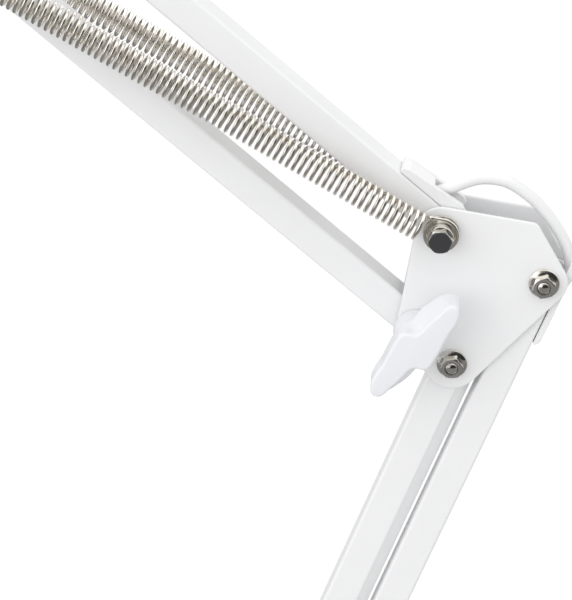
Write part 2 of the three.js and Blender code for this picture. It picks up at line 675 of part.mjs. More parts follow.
function leadPieces() {
  const lowerEnd = flipped([[-8.1, 7.1], [-5.6, 8.2], [-1.5, 8.4], [4, 6.7], [12, 3.8], [22, 1], [34, 0]]);
  const lowerRun = innerRun(BASE_OUTER, LOWER_ANGLE, INTO_SLOT, lowerEnd);
  const upperRun = innerRun(ELBOW, UPPER_ANGLE, INTO_SLOT, flipped(INTO_SLOT));
  const around = ([x0, z0], points) => points.map(([x, z]) => [x0 + x, 0, z0 + z]);
  const elbowLoop = around(ELBOW, [[-0.3, 13.05], [6, 15.6], [13.5, 18.3], [17.2, 18.5], [24.7, 17],
    [28.6, 14.7], [33.6, 10.9], [40.2, 3.5], [44.6, -3.2], [47.6, -9.9], [48.4, -13.7]]);
  const headLoop = around(HEAD, [[13, 2.6], [15.3, 16], [14.5, 32], [8, 48], [-5, 59], [-19, 63.5],
    [-32, 60.3], [-40.5, 52.4], [-45.9, 42.9], [-53, 29.6], [-60.5, 15.5]]);
  const baseLoop = around([0, 0], [[30.2, 98.6], [34, 92.6], [38.5, 84], [39.5, 74], [35, 64.5],
    [28, 58], [23.9, 52.5], [23.5, 48], [23.5, 41.5]]);
  return [
    piece('cord_lower_run', cordSolid(lowerRun, CORD_R, 8, 30), whiteCord),
    piece('cord_upper_run', cordSolid(upperRun, CORD_R, 8, 30), whiteCord),
    piece('cord_elbow_loop', cordSolid(elbowLoop, CORD_R, 8, 18), whiteCord),
    piece('cord_head_loop', cordSolid(headLoop, CORD_R, 8, 24), whiteCord),
    piece('cord_base_loop', cordSolid(baseLoop, CORD_R, 8, 16), whiteCord),
  ];
}

// The free end of the lead lies on the desk behind the clamp: a coil, then the plug.
const COIL = { x: -62, y: 102, inner: 17.4, outer: 44.2, height: 10.8 };

function mainsPieces() {
  const toCoil = [[23.5, 0, 40.7], [23.6, 1, 35], [23, 6, 29], [20, 15, 24.5], [13, 27, 18.5],
    [4, 37, 10.5], [-6, 46, 5], [-14.5, 56, 2.9], [-19.3, 68, 2.7], [-20.5, 80.7, 2.7]];
  const toPlug = [[-84.4, 143, 8.1], [-95, 142, 6.2], [-106, 137, 3.9], [-114, 128, 3], [-118, 117, 4.4],
    [-118.5, 108, 6.8], [-118.5, 99.9, 7.3]];
  const coil = latheZ([
    [COIL.inner + 1, 0.2], [COIL.outer - 1.5, 0.2], [COIL.outer, 1.6], [COIL.outer, COIL.height - 1.6],
    [COIL.outer - 1.5, COIL.height], [COIL.inner + 1, COIL.height], [COIL.inner, COIL.height - 1.4],
    [COIL.inner, 1.4], [COIL.inner + 1, 0.2],
  ]).translate(COIL.x, COIL.y, 0);
  return [
    piece('mains_cord', cordSolid(toCoil, CORD_R, 8, 18), whiteCord),
    piece('cord_coil', coil, whiteCord),
    piece('mains_tail', cordSolid(toPlug, CORD_R, 8, 12), whiteCord),
    plug('mains_plug', [-118.5, 99.5, 7.3]),
  ];
}

/** A flat two-pin plug whose tapered strain relief starts at `from` and points along -Y. */
function plug(name, from) {
  const relief = latheY([[0, 0], [3.3, 0], [4.8, -25], [0, -27]], 16);
  const body = new THREE.ExtrudeGeometry(plugOutline(), { depth: 13.6, bevelEnabled: false, curveSegments: 4 })
    .translate(0, 0, -6.8);
  const pins = [-9.5, 9.5].map((x) => rodY(x, 0, 2, -79, -60, 12));
  return piece(name, combine([relief, body, ...pins]).translate(...from), whitePlastic);
}

/** The plug's outline in (x, y), narrow at the cord and wide at the pins. */
function plugOutline() {
  const shape = new THREE.Shape();
  shape.moveTo(-17.6, -61);
  shape.lineTo(17.6, -61);
  shape.lineTo(17.6, -48);
  shape.quadraticCurveTo(17, -38, 8, -30);
  shape.lineTo(6, -24);
  shape.lineTo(-6, -24);
  shape.lineTo(-8, -30);
  shape.quadraticCurveTo(-17, -38, -17.6, -48);
  shape.closePath();
  return shape;
}

// ---- Assembly -----------------------------------------------------------------------------

const lamp = new THREE.Group();
lamp.add(
  ...clampPieces(),
  ...clampScrewPieces(),
  ...basePieces(),
  ...lowerArm(),
  ...elbowPieces(),
  ...upperArm(),
  ...headBracket(),
  frameAt(plus(HEAD, HEAD_TILT), SHADE_TILT, ...headPieces()),
  ...leadPieces(),
  ...mainsPieces(),
);

export default lamp;
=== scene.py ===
"""Swing arm desk lamp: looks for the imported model.

Every length is in metres in the model's own frame: +Z up, the arms swing in the XZ plane, the front
of the lamp faces -Y and the head hangs towards -X. Shapes are surfaces worked out with numpy on
grids of two parameters, or merged copies of CAD nodes with softened edges.
"""

import json
import logging
import math
from dataclasses import dataclass, field
from enum import Enum
from typing import Sequence

import bmesh
import bpy
import numpy as np
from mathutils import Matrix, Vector

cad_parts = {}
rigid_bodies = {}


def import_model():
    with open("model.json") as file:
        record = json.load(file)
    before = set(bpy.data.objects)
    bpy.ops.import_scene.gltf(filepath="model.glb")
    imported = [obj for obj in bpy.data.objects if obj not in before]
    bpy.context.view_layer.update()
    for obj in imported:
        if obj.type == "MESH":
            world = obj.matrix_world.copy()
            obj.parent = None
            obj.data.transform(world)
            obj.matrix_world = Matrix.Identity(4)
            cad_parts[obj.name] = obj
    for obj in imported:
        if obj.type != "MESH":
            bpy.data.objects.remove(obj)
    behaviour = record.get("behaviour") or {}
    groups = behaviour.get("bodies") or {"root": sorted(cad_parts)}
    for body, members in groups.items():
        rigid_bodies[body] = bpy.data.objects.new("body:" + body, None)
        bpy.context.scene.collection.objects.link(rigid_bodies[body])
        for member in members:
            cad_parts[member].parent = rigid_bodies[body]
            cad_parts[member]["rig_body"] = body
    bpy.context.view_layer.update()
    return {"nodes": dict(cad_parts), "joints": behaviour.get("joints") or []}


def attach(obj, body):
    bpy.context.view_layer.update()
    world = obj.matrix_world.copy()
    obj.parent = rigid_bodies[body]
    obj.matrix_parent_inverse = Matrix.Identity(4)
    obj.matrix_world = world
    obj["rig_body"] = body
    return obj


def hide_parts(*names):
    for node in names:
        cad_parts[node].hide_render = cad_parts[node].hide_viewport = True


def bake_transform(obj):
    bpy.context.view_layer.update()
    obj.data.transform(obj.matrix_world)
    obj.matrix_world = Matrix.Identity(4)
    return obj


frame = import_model()

logging.basicConfig(level=logging.INFO, format="%(message)s")
LOG = logging.getLogger("lamp")

Array = np.ndarray
Point = Sequence[float]
Colour = tuple[float, float, float]

MM = 0.001
TAU = 2 * math.pi


# ---- Places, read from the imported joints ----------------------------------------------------


def pivot(joint: str) -> Array:
    """The rest position of a hinge joint.

    Args:
        joint: The joint's name.

    Returns:
        Its point in the row frame.
    """
    found = next(j for j in frame["joints"] if j["name"] == joint)
    return np.array(found["pos_m"], float)


A = pivot("upper_arm")
B = pivot("elbow_level")
D = pivot("upper_bottom")
BASE_OUTER = pivot("lower_arm")
BASE_INNER = pivot("lower_inner")
HEAD_A = pivot("head_level")
HEAD_TILT = pivot("shade_tilt")
C = BASE_INNER + (B - BASE_OUTER)
HEAD_D = HEAD_A + (D - A)
ARM = float(np.linalg.norm(HEAD_A - A))
UP_ARM = (HEAD_A - A) / ARM
LOW_ARM = (B - BASE_OUTER) / ARM
X_AXIS = np.array([1.0, 0.0, 0.0])
Y_AXIS = np.array([0.0, 1.0, 0.0])
Z_AXIS = np.array([0.0, 0.0, 1.0])
FRONT = -Y_AXIS

PLATE_IN = 7.3 * MM
PLATE_OUT = 8.8 * MM
CORD_D = 5.0 * MM
BOLT_R = 2.5 * MM
SHADE_TILT = math.radians(62)
SHADE_UP = np.array([math.cos(SHADE_TILT), 0.0, math.sin(SHADE_TILT)])
SHADE_OUT = np.array([-math.sin(SHADE_TILT), 0.0, math.cos(SHADE_TILT)])
SHADE_ORIGIN = HEAD_TILT + 42 * MM * SHADE_OUT
SCREW_AXIS = np.array([-14 * MM, 0.0, 0.0])
BOLT_END = 14.9 * MM
NUT_SEAT = PLATE_OUT + 0.1 * MM
UPPER_PIN = D + 215 * MM * UP_ARM
LOWER_PIN = BASE_INNER + 205 * MM * LOW_ARM
BASE_PIN = BASE_INNER + np.array([-20 * MM, 0, 16 * MM])


# ---- Numpy surfaces --------------------------------------------------------------------------


@dataclass
class Surface:
    """Points and faces on their way to a mesh.

    Attributes:
        points: One row for each point.
        faces: The corners of each face, as indexes into the points.
    """

    points: Array
    faces: list[list[int]]

    def __add__(self, other: "Surface") -> "Surface":
        """Both surfaces as one.

        Args:
            other: The surface to add.

        Returns:
            Their points and faces together.
        """
        shift = len(self.points)
        moved = [[corner + shift for corner in face] for face in other.faces]
        return Surface(np.vstack([self.points, other.points]), self.faces + moved)


def unit(vector: Array) -> Array:
    """The vector, or each row of an array of vectors, at length one."""
    return vector / np.linalg.norm(vector, axis=-1, keepdims=True)


def outwards(direction: Array) -> Array:
    """The direction in the XZ plane that an arm's outer face looks to."""
    return np.array([direction[2], 0.0, -direction[0]])


def grid(points: Array, close_rows: bool = False, close_columns: bool = False) -> Surface:
    """Quads between neighbouring points of a grid.

    Args:
        points: An array of rows by columns by three.
        close_rows: Whether the last row joins the first.
        close_columns: Whether the last column joins the first.

    Returns:
        The surface.
    """
    rows, columns = points.shape[:2]
    i, j = np.meshgrid(
        np.arange(rows if close_rows else rows - 1),
        np.arange(columns if close_columns else columns - 1),
        indexing="ij",
    )
    below, right = (i + 1) % rows, (j + 1) % columns
    corners = [i * columns + j, i * columns + right, below * columns + right, below * columns + j]
    quads = np.stack(corners, -1).reshape(-1, 4)
    return Surface(points.reshape(-1, 3), quads.tolist())


def capped(points: Array) -> Surface:
    """A tube given ring by ring, with a flat face over its first and its last ring.

    Args:
        points: An array of rings by points by three.

    Returns:
        The closed surface.
    """
    made = grid(points, close_columns=True)
    rows, columns = points.shape[:2]
    first = list(range(columns))[::-1]
    last = [(rows - 1) * columns + k for k in range(columns)]
    return Surface(made.points, made.faces + [first, last])


def across(axis: Array) -> tuple[Array, Array]:
    """Two unit directions square to an axis and to each other.

    Args:
        axis: The unit axis.

    Returns:
        Both directions.
    """
    helper = X_AXIS if abs(axis @ X_AXIS) < 0.9 else Z_AXIS
    first = unit(np.cross(helper, axis))
    return first, np.cross(axis, first)


def soften(corners: Sequence[Point], radius: float, steps: int = 4) -> Array:
    """An open line with its inner corners rounded.

    Each corner gives way to a parabola that starts and ends `radius` away from it, or half way to
    the next corner where that is nearer.

    Args:
        corners: The line's points, in any number of dimensions.
        radius: How far from a corner its rounding starts.
        steps: The stretches in each rounding.

    Returns:
        The rounded line.
    """
    line = np.array(corners, float)
    before, here, after = line[:-2], line[1:-1], line[2:]
    back, ahead = before - here, after - here
    reach = np.minimum(np.linalg.norm(back, axis=1), np.linalg.norm(ahead, axis=1)) / 2
    reach = np.minimum(reach, radius)[:, None]
    start, end = here + unit(back) * reach, here + unit(ahead) * reach
    t = np.linspace(0, 1, steps + 1)[None, :, None]
    bends = (1 - t) ** 2 * start[:, None] + 2 * t * (1 - t) * here[:, None] + t**2 * end[:, None]
    return np.vstack([line[:1], bends.reshape(-1, line.shape[1]), line[-1:]])


def revolve(profile: Array, origin: Array, axis: Array, segments: int = 72) -> Surface:
    """Turns a profile round an axis.

    A point is origin + height * axis + radius * (cos a * first + sin a * second).

    Args:
        profile: Rows of (radius, height). It starts and ends on the axis or where it began.
        origin: The point at height nought.
        axis: The unit direction of height.
        segments: The steps in a turn.

    Returns:
        The surface.
    """
    radius, height = np.asarray(profile, float).T
    angle = np.arange(segments) * TAU / segments
    first, second = across(axis)
    spokes = np.cos(angle)[:, None] * first + np.sin(angle)[:, None] * second
    points = origin + height[:, None, None] * axis + radius[:, None, None] * spokes[None]
    return grid(points, close_columns=True)


def spline(points: Sequence[Point], step: float) -> tuple[Array, list[int]]:
    """A smooth curve through points: the natural cubic spline over the chord length.

    Args:
        points: What it passes through.
        step: The greatest distance between its stations.

    Returns:
        The stations, and for each point the index of its own station.
    """
    known = np.array(points, float)
    span = np.linalg.norm(np.diff(known, axis=0), axis=1)
    count = len(known)
    system, right = np.eye(count), np.zeros_like(known)
    slope = np.diff(known, axis=0) / span[:, None]
    inner = np.arange(1, count - 1)
    system[inner, inner - 1], system[inner, inner + 1] = span[:-1], span[1:]
    system[inner, inner] = 2 * (span[:-1] + span[1:])
    right[1:-1] = 6 * np.diff(slope, axis=0)
    bend = np.linalg.solve(system, right)
    stations, marks = [known[:1]], [0]
    for i, length in enumerate(span):
        pieces = max(1, math.ceil(length / step))
        u = np.linspace(0, length, pieces + 1)[1:, None]
        v = length - u
        stations.append(
            (bend[i] * v**3 + bend[i + 1] * u**3) / (6 * length)
            + (known[i] / length - bend[i] * length / 6) * v
            + (known[i + 1] / length - bend[i + 1] * length / 6) * u
        )
        marks.append(marks[-1] + pieces)
    return np.vstack(stations), marks


def steady_frames(path: Array) -> tuple[Array, Array]:
    """Two directions square to a path at each station, which never spin round it.

    Args:
        path: The stations.

    Returns:
        The first and the second directions.
    """
    tangent = unit(np.gradient(path, axis=0))
    side = across(tangent[0])[0]
    sides = []
    for direction in tangent:
        side = unit(side - direction * (side @ direction))
        sides.append(side)
    first = np.array(sides)
    return first, np.cross(tangent, first)


def carry(path: Array, radius: float | Array, sides: int = 16) -> Surface:
    """A round section carried along a path, with closed ends.

    Args:
        path: The stations of its centreline.
        radius: One radius, or one for each station.
        sides: The steps round the section.

    Returns:
        The tube.
    """
    first, second = steady_frames(path)
    angle = np.arange(sides) * TAU / sides
    reach = np.broadcast_to(radius, len(path))[:, None, None]
    cosine, sine = np.cos(angle)[None, :, None], np.sin(angle)[None, :, None]
    return capped(path[:, None] + reach * (cosine * first[:, None] + sine * second[:, None]))


def hermite(start: Array, out: Array, end: Array, into: Array, count: int) -> Array:
    """The points between two ends on the cubic that leaves along `out` and arrives along `into`.

    Args:
        start: The first end.
        out: The curve's slope there.
        end: The last end.
        into: The curve's slope there.
        count: How many points.

    Returns:
        The points, without the ends.
    """
    t = np.linspace(0, 1, count + 2)[1:-1, None]
    return (
        (2 * t**3 - 3 * t**2 + 1) * start
        + (t**3 - 2 * t**2 + t) * out
        + (3 * t**2 - 2 * t**3) * end
        + (t**3 - t**2) * into
    )


# ---- Finishes --------------------------------------------------------------------------------


class Slot(Enum):
    """The record's material slots."""

    PAINT = "white_paint"
    PLASTIC = "white_plastic"
    ZINC = "zinc_steel"
    DARK = "dark_steel"
    SPRING = "spring_steel"
    RUBBER = "black_rubber"
    SHEATH = "cord_sheath"
    GLASS = "frosted_glass"


def node_group(name: str, inputs: dict[str, float], outputs: Sequence[str]) -> bpy.types.NodeTree:
    """An empty shader node group with float sockets.

    Args:
        name: The group's name.
        inputs: Each input's name and value.
        outputs: The outputs' names.

    Returns:
        The group, holding only its input and its output node.
    """
    tree = bpy.data.node_groups.new(name, "ShaderNodeTree")
    for socket, value in inputs.items():
        made = tree.interface.new_socket(name=socket, in_out="INPUT", socket_type="NodeSocketFloat")
        made.default_value = value
    for socket in outputs:
        tree.interface.new_socket(name=socket, in_out="OUTPUT", socket_type="NodeSocketFloat")
    tree.nodes.new("NodeGroupInput")
    tree.nodes.new("NodeGroupOutput")
    return tree


def grain_group() -> bpy.types.NodeTree:
    """Fine surface grain: two noises, the second four times as fine, summed into a height.

    Returns:
        The group.
    """
    tree = node_group("surface_grain", {"Scale": 900.0, "Fine": 0.35}, ["Height"])
    nodes, links = tree.nodes, tree.links
    place = nodes.new("ShaderNodeTexCoord")
    coarse, fine = nodes.new("ShaderNodeTexNoise"), nodes.new("ShaderNodeTexNoise")
    finer, mix = nodes.new("ShaderNodeMath"), nodes.new("ShaderNodeMath")
    finer.operation, mix.operation = "MULTIPLY", "MULTIPLY_ADD"
    finer.inputs[1].default_value = 4.0
    entry, leave = nodes["Group Input"], nodes["Group Output"]
    for noise in (coarse, fine):
        noise.inputs["Detail"].default_value = 2.0
        links.new(place.outputs["Object"], noise.inputs["Vector"])
    links.new(entry.outputs["Scale"], coarse.inputs["Scale"])
    links.new(entry.outputs["Scale"], finer.inputs[0])
    links.new(finer.outputs[0], fine.inputs["Scale"])
    links.new(fine.outputs["Fac"], mix.inputs[0])
    links.new(entry.outputs["Fine"], mix.inputs[1])
    links.new(coarse.outputs["Fac"], mix.inputs[2])
    links.new(mix.outputs[0], leave.inputs["Height"])
    return tree


def mottle_group() -> bpy.types.NodeTree:
    """Slow patches from nought to one: a noise stretched between two levels.

    Returns:
        The group.
    """
    tree = node_group("slow_mottle", {"Scale": 60.0, "Low": 0.35, "High": 0.65}, ["Mask"])
    nodes, links = tree.nodes, tree.links
    place, noise = nodes.new("ShaderNodeTexCoord"), nodes.new("ShaderNodeTexNoise")
    spread = nodes.new("ShaderNodeMapRange")
    noise.inputs["Detail"].default_value = 3.0
    entry, leave = nodes["Group Input"], nodes["Group Output"]
    links.new(place.outputs["Object"], noise.inputs["Vector"])
    links.new(entry.outputs["Scale"], noise.inputs["Scale"])
    links.new(noise.outputs["Fac"], spread.inputs["Value"])
    links.new(entry.outputs["Low"], spread.inputs["From Min"])
    links.new(entry.outputs["High"], spread.inputs["From Max"])
    links.new(spread.outputs["Result"], leave.inputs["Mask"])
    return tree


def edge_highlight_group() -> bpy.types.NodeTree:
    """A painted highlight on edges: how far a point stands proud of its surroundings, broken up by noise.

    Returns:
        The group.
    """
    # this group paints a highlight on edges that stand proud
    tree = node_group("rubbed_edges", {"Amount": 1.0, "Scale": 700.0}, ["Mask"])
    nodes, links = tree.nodes, tree.links
    shape, place = nodes.new("ShaderNodeNewGeometry"), nodes.new("ShaderNodeTexCoord")
    noise, proud = nodes.new("ShaderNodeTexNoise"), nodes.new("ShaderNodeMapRange")
    broken, scaled = nodes.new("ShaderNodeMath"), nodes.new("ShaderNodeMath")
    proud.inputs["From Min"].default_value = 0.52
    proud.inputs["From Max"].default_value = 0.62
    broken.operation = scaled.operation = "MULTIPLY"
    entry, leave = nodes["Group Input"], nodes["Group Output"]
    links.new(shape.outputs["Pointiness"], proud.inputs["Value"])
    links.new(place.outputs["Object"], noise.inputs["Vector"])
    links.new(entry.outputs["Scale"], noise.inputs["Scale"])
    links.new(proud.outputs["Result"], broken.inputs[0])
    links.new(noise.outputs["Fac"], broken.inputs[1])
    links.new(broken.outputs[0], scaled.inputs[0])
    links.new(entry.outputs["Amount"], scaled.inputs[1])
    links.new(scaled.outputs[0], leave.inputs["Mask"])
    return tree


GRAIN, MOTTLE, EDGE_HIGHLIGHT = grain_group(), mottle_group(), edge_highlight_group()


@dataclass(frozen=True)
class Finish:
    """One surface finish: two tones in slow patches, grain in the normal, and a painted highlight that
    brightens its edges.

    Attributes:
        name: The material's name.
        slot: The record's slot.
        light: The main tone.
        dark: The tone of the patches.
        edge: The tone of the painted highlight on edges.
        edge_highlight: How strong the painted highlight on edges is.
        roughness: The roughness of the main tone.
        dull: The roughness of the patches.
        grain: How fine the grain is, in cells for each metre.
        depth: How deep the grain is, in metres.
        metallic: Whether it is bare metal.
        coat: The weight of a clear coat.
        mottle: How fine the patches are, in cells for each metre.
        specular: The strength of its plain reflection.
        transmission: How much light passes through it.
    """

    name: str
    slot: Slot
    light: Colour
    dark: Colour
    edge: Colour
    edge_highlight: float = 0.3
    roughness: float = 0.35
    dull: float = 0.42
    grain: float = 900.0
    depth: float = 0.00001
    metallic: float = 0.0
    coat: float = 0.0
    mottle: float = 45.0
    specular: float = 0.5
    transmission: float = 0.0

    def material(self) -> bpy.types.Material:
        """The finish as a material, built the first time that it is asked for.

        Returns:
            The material.
        """
        known = bpy.data.materials.get(self.name)
        if known:
            return known
        made = bpy.data.materials.new(self.name)
        made.use_nodes = True
        nodes, links = made.node_tree.nodes, made.node_tree.links
        shader = nodes["Principled BSDF"]
        shader.inputs["Metallic"].default_value = self.metallic
        shader.inputs["Coat Weight"].default_value = self.coat
        shader.inputs["Coat Roughness"].default_value = 0.12
        shader.inputs["Specular IOR Level"].default_value = self.specular
        shader.inputs["Transmission Weight"].default_value = self.transmission
        patches = self._group(made, MOTTLE, {"Scale": self.mottle})
        # painted highlight: edges that stand proud are brightened
        highlit_edges = self._group(made, EDGE_HIGHLIGHT, {"Amount": self.edge_highlight})
        height = self._group(made, GRAIN, {"Scale": self.grain})
        tone = self._blend(made, patches.outputs["Mask"], self.light, self.dark)
        # the painted highlight on edges is mixed over the patched tone here
        final = self._blend(made, highlit_edges.outputs["Mask"], None, self.edge)
        links.new(tone.outputs[2], final.inputs[6])
        links.new(final.outputs[2], shader.inputs["Base Color"])
        rough = nodes.new("ShaderNodeMapRange")
        rough.inputs["To Min"].default_value = self.roughness
        rough.inputs["To Max"].default_value = self.dull
        links.new(patches.outputs["Mask"], rough.inputs["Value"])
        links.new(rough.outputs["Result"], shader.inputs["Roughness"])
        bump = nodes.new("ShaderNodeBump")
        bump.inputs["Strength"].default_value = 1.0
        bump.inputs["Distance"].default_value = self.depth
        links.new(height.outputs["Height"], bump.inputs["Height"])
        links.new(bump.outputs["Normal"], shader.inputs["Normal"])
        return made

    @staticmethod
    def _group(
        material: bpy.types.Material, tree: bpy.types.NodeTree, values: dict[str, float]
    ) -> bpy.types.Node:
        """Places a node group with its own values.

        Args:
            material: Where it is placed.
            tree: The group.
            values: The values of its inputs.

        Returns:
            The group's node.
        """
        node = material.node_tree.nodes.new("ShaderNodeGroup")
        node.node_tree = tree
        for name, value in values.items():
            node.inputs[name].default_value = value
        return node

    @staticmethod
    def _blend(
        material: bpy.types.Material, mask: bpy.types.NodeSocket, low: Colour | None, high: Colour
    ) -> bpy.types.Node:
        """A colour mix by a mask.

        Args:
            material: Where it is placed.
            mask: What the mix follows.
            low: The colour where the mask is nought, or None where another node gives it.
            high: The colour where the mask is one.

        Returns:
            The mix's node.
        """
        mix = material.node_tree.nodes.new("ShaderNodeMix")
        mix.data_type = "RGBA"
        if low:
            mix.inputs[6].default_value = (*low, 1.0)
        mix.inputs[7].default_value = (*high, 1.0)
        material.node_tree.links.new(mask, mix.inputs[0])
        return mix


POWDER_COAT = Finish(
    "powder_coat_white", Slot.PAINT, (0.9, 0.903, 0.91), (0.888, 0.891, 0.898), (0.94, 0.94, 0.94),
    edge_highlight=0.4, roughness=0.4, dull=0.46, grain=1100.0, depth=0.000012, specular=0.3,
)
MOULDED_WHITE = Finish(
    "moulded_white", Slot.PLASTIC, (0.862, 0.872, 0.9), (0.855, 0.865, 0.893), (0.9, 0.905, 0.92),
    edge_highlight=0.5, roughness=0.42, dull=0.48, grain=1500.0, depth=0.000004, coat=0.05,
)
NEUTRAL_WHITE = Finish(
    "moulded_neutral_white", Slot.PLASTIC, (0.9, 0.902, 0.906), (0.892, 0.894, 0.9), (0.93, 0.93, 0.93),
    edge_highlight=0.5, roughness=0.36, dull=0.42, grain=1500.0, depth=0.000004,
)
BRIGHT_ZINC = Finish(
    "bright_zinc", Slot.ZINC, (0.88, 0.86, 0.81), (0.7, 0.67, 0.61), (0.96, 0.95, 0.92),
    edge_highlight=0.9, roughness=0.13, dull=0.22, grain=1600.0, depth=0.000008, metallic=1.0, mottle=260.0,
)
DARK_STEEL = Finish(
    "dark_steel", Slot.DARK, (0.03, 0.029, 0.027), (0.42, 0.4, 0.37), (0.5, 0.5, 0.5),
    edge_highlight=0.5, roughness=0.45, dull=0.3, grain=1500.0, depth=0.0004, metallic=0.4, mottle=1300.0,
)
DRAWN_WIRE = Finish(
    "drawn_wire", Slot.SPRING, (0.92, 0.885, 0.83), (0.7, 0.65, 0.575), (0.96, 0.95, 0.92),
    edge_highlight=0.2, roughness=0.14, dull=0.24, grain=2200.0, depth=0.000006, metallic=1.0, mottle=180.0,
)
RUBBER = Finish(
    "black_rubber", Slot.RUBBER, (0.03, 0.03, 0.034), (0.045, 0.045, 0.05), (0.1, 0.1, 0.1),
    edge_highlight=0.3, roughness=0.7, dull=0.85, grain=1300.0, depth=0.00003,
)
SHEATH = Finish(
    "cord_sheath_white", Slot.SHEATH, (0.9, 0.902, 0.905), (0.89, 0.892, 0.896), (0.92, 0.92, 0.92),
    edge_highlight=0.1, roughness=0.36, dull=0.42, grain=1200.0, depth=0.000006,
)
FROSTED = Finish(
    "frosted_glass", Slot.GLASS, (0.95, 0.94, 0.91), (0.92, 0.91, 0.87), (1.0, 1.0, 1.0),
    edge_highlight=0.1, roughness=0.28, dull=0.36, grain=1800.0, depth=0.000003, transmission=0.25,
)


# ---- Pieces ----------------------------------------------------------------------------------


def add_piece(
    name: str,
    surface: Surface,
    finish: Finish,
    body: str | None,
    replaces: Sequence[str] = (),
    sharp: float = 38.0,
) -> bpy.types.Object:
    """Makes a surface a smooth mesh object that rides on a body.

    Args:
        name: The piece's name.
        surface: Its shape, in place.
        finish: Its finish.
        body: The CAD body that it rides on, or None for a piece left on no body.
        replaces: The CAD nodes that it stands for.
        sharp: The angle in degrees past which an edge shows as an edge.

    Returns:
        The object.
    """
    mesh = bpy.data.meshes.new(name)
    mesh.from_pydata(surface.points.tolist(), [], surface.faces)
    work = bmesh.new()
    work.from_mesh(mesh)
    bmesh.ops.remove_doubles(work, verts=work.verts, dist=2e-6)
    bmesh.ops.dissolve_degenerate(work, edges=work.edges, dist=1e-7)
    bmesh.ops.recalc_face_normals(work, faces=work.faces)
    work.to_mesh(mesh)
    work.free()
    return finish_mesh(name, mesh, finish, body, replaces, sharp)


def finish_mesh(
    name: str,
    mesh: bpy.types.Mesh,
    finish: Finish,
    body: str | None,
    replaces: Sequence[str],
    sharp: float,
) -> bpy.types.Object:
    """Shades a mesh, gives it its finish and hangs it on its body.

    Args:
        name: The piece's name.
        mesh: Its mesh.
        finish: Its finish.
        body: The CAD body that it rides on, or None for a piece left on no body.
        replaces: The CAD nodes that it stands for.
        sharp: The angle in degrees past which an edge shows as an edge.

    Returns:
        The object.
    """
    mesh.shade_smooth()
    mesh.set_sharp_from_angle(angle=math.radians(sharp))
    mesh.materials.clear()
    mesh.materials.append(finish.material())
    obj = bpy.data.objects.new(name, mesh)
    bpy.context.scene.collection.objects.link(obj)
    if body:
        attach(obj, body)
    if replaces:
        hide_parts(*replaces)
    LOG.info("%s: %d faces, %s", name, len(mesh.polygons), finish.name)
    return obj


def soft_copy(node: str, finish: Finish, edge: float, sharp: float = 32.0) -> bpy.types.Object:
    """A CAD node's shape as one clean mesh with rounded edges, which stands for the node.

    Args:
        node: The CAD node.
        finish: Its finish.
        edge: The width of the rounding.
        sharp: The angle in degrees past which an edge is rounded.

    Returns:
        The object, on the node's own body.
    """
    source = frame["nodes"][node]
    mesh = source.data.copy()
    work = bmesh.new()
    work.from_mesh(mesh)
    bmesh.ops.remove_doubles(work, verts=work.verts, dist=2e-6)
    bmesh.ops.dissolve_limit(work, angle_limit=math.radians(0.5), verts=work.verts, edges=work.edges)
    work.to_mesh(mesh)
    work.free()
    for name in [layer.name for layer in mesh.uv_layers]:
        mesh.uv_layers.remove(mesh.uv_layers[name])
    if mesh.has_custom_normals:
        mesh.attributes.remove(mesh.attributes["custom_normal"])
    obj = finish_mesh(f"{node}_skin", mesh, finish, source["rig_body"], [node], sharp)
    bevel = obj.modifiers.new("rounded_edges", "BEVEL")
    bevel.width, bevel.segments = edge, 2
    bevel.limit_method, bevel.angle_limit = "ANGLE", math.radians(sharp)
    level = obj.modifiers.new("flat_faces_flat", "WEIGHTED_NORMAL")
    level.keep_sharp, level.weight = True, 80
    return obj


def turned(
    name: str,
    profile: Array,
    place: tuple[Array, Array],
    finish: Finish,
    body: str,
    nodes: Sequence[str] = (),
    segments: int = 72,
    sharp: float = 38.0,
) -> None:
    """A piece turned round an axis.

    Args:
        name: The piece's name.
        profile: Rows of (radius, height).
        place: The point at height nought and the unit direction of height.
        finish: Its finish.
        body: The CAD body that it rides on.
        nodes: The CAD nodes that it stands for.
        segments: The steps in a turn.
        sharp: The angle in degrees past which an edge shows as an edge.
    """
    add_piece(name, revolve(profile, *place, segments), finish, body, nodes, sharp)


# ---- Camera, lights, desk --------------------------------------------------------------------


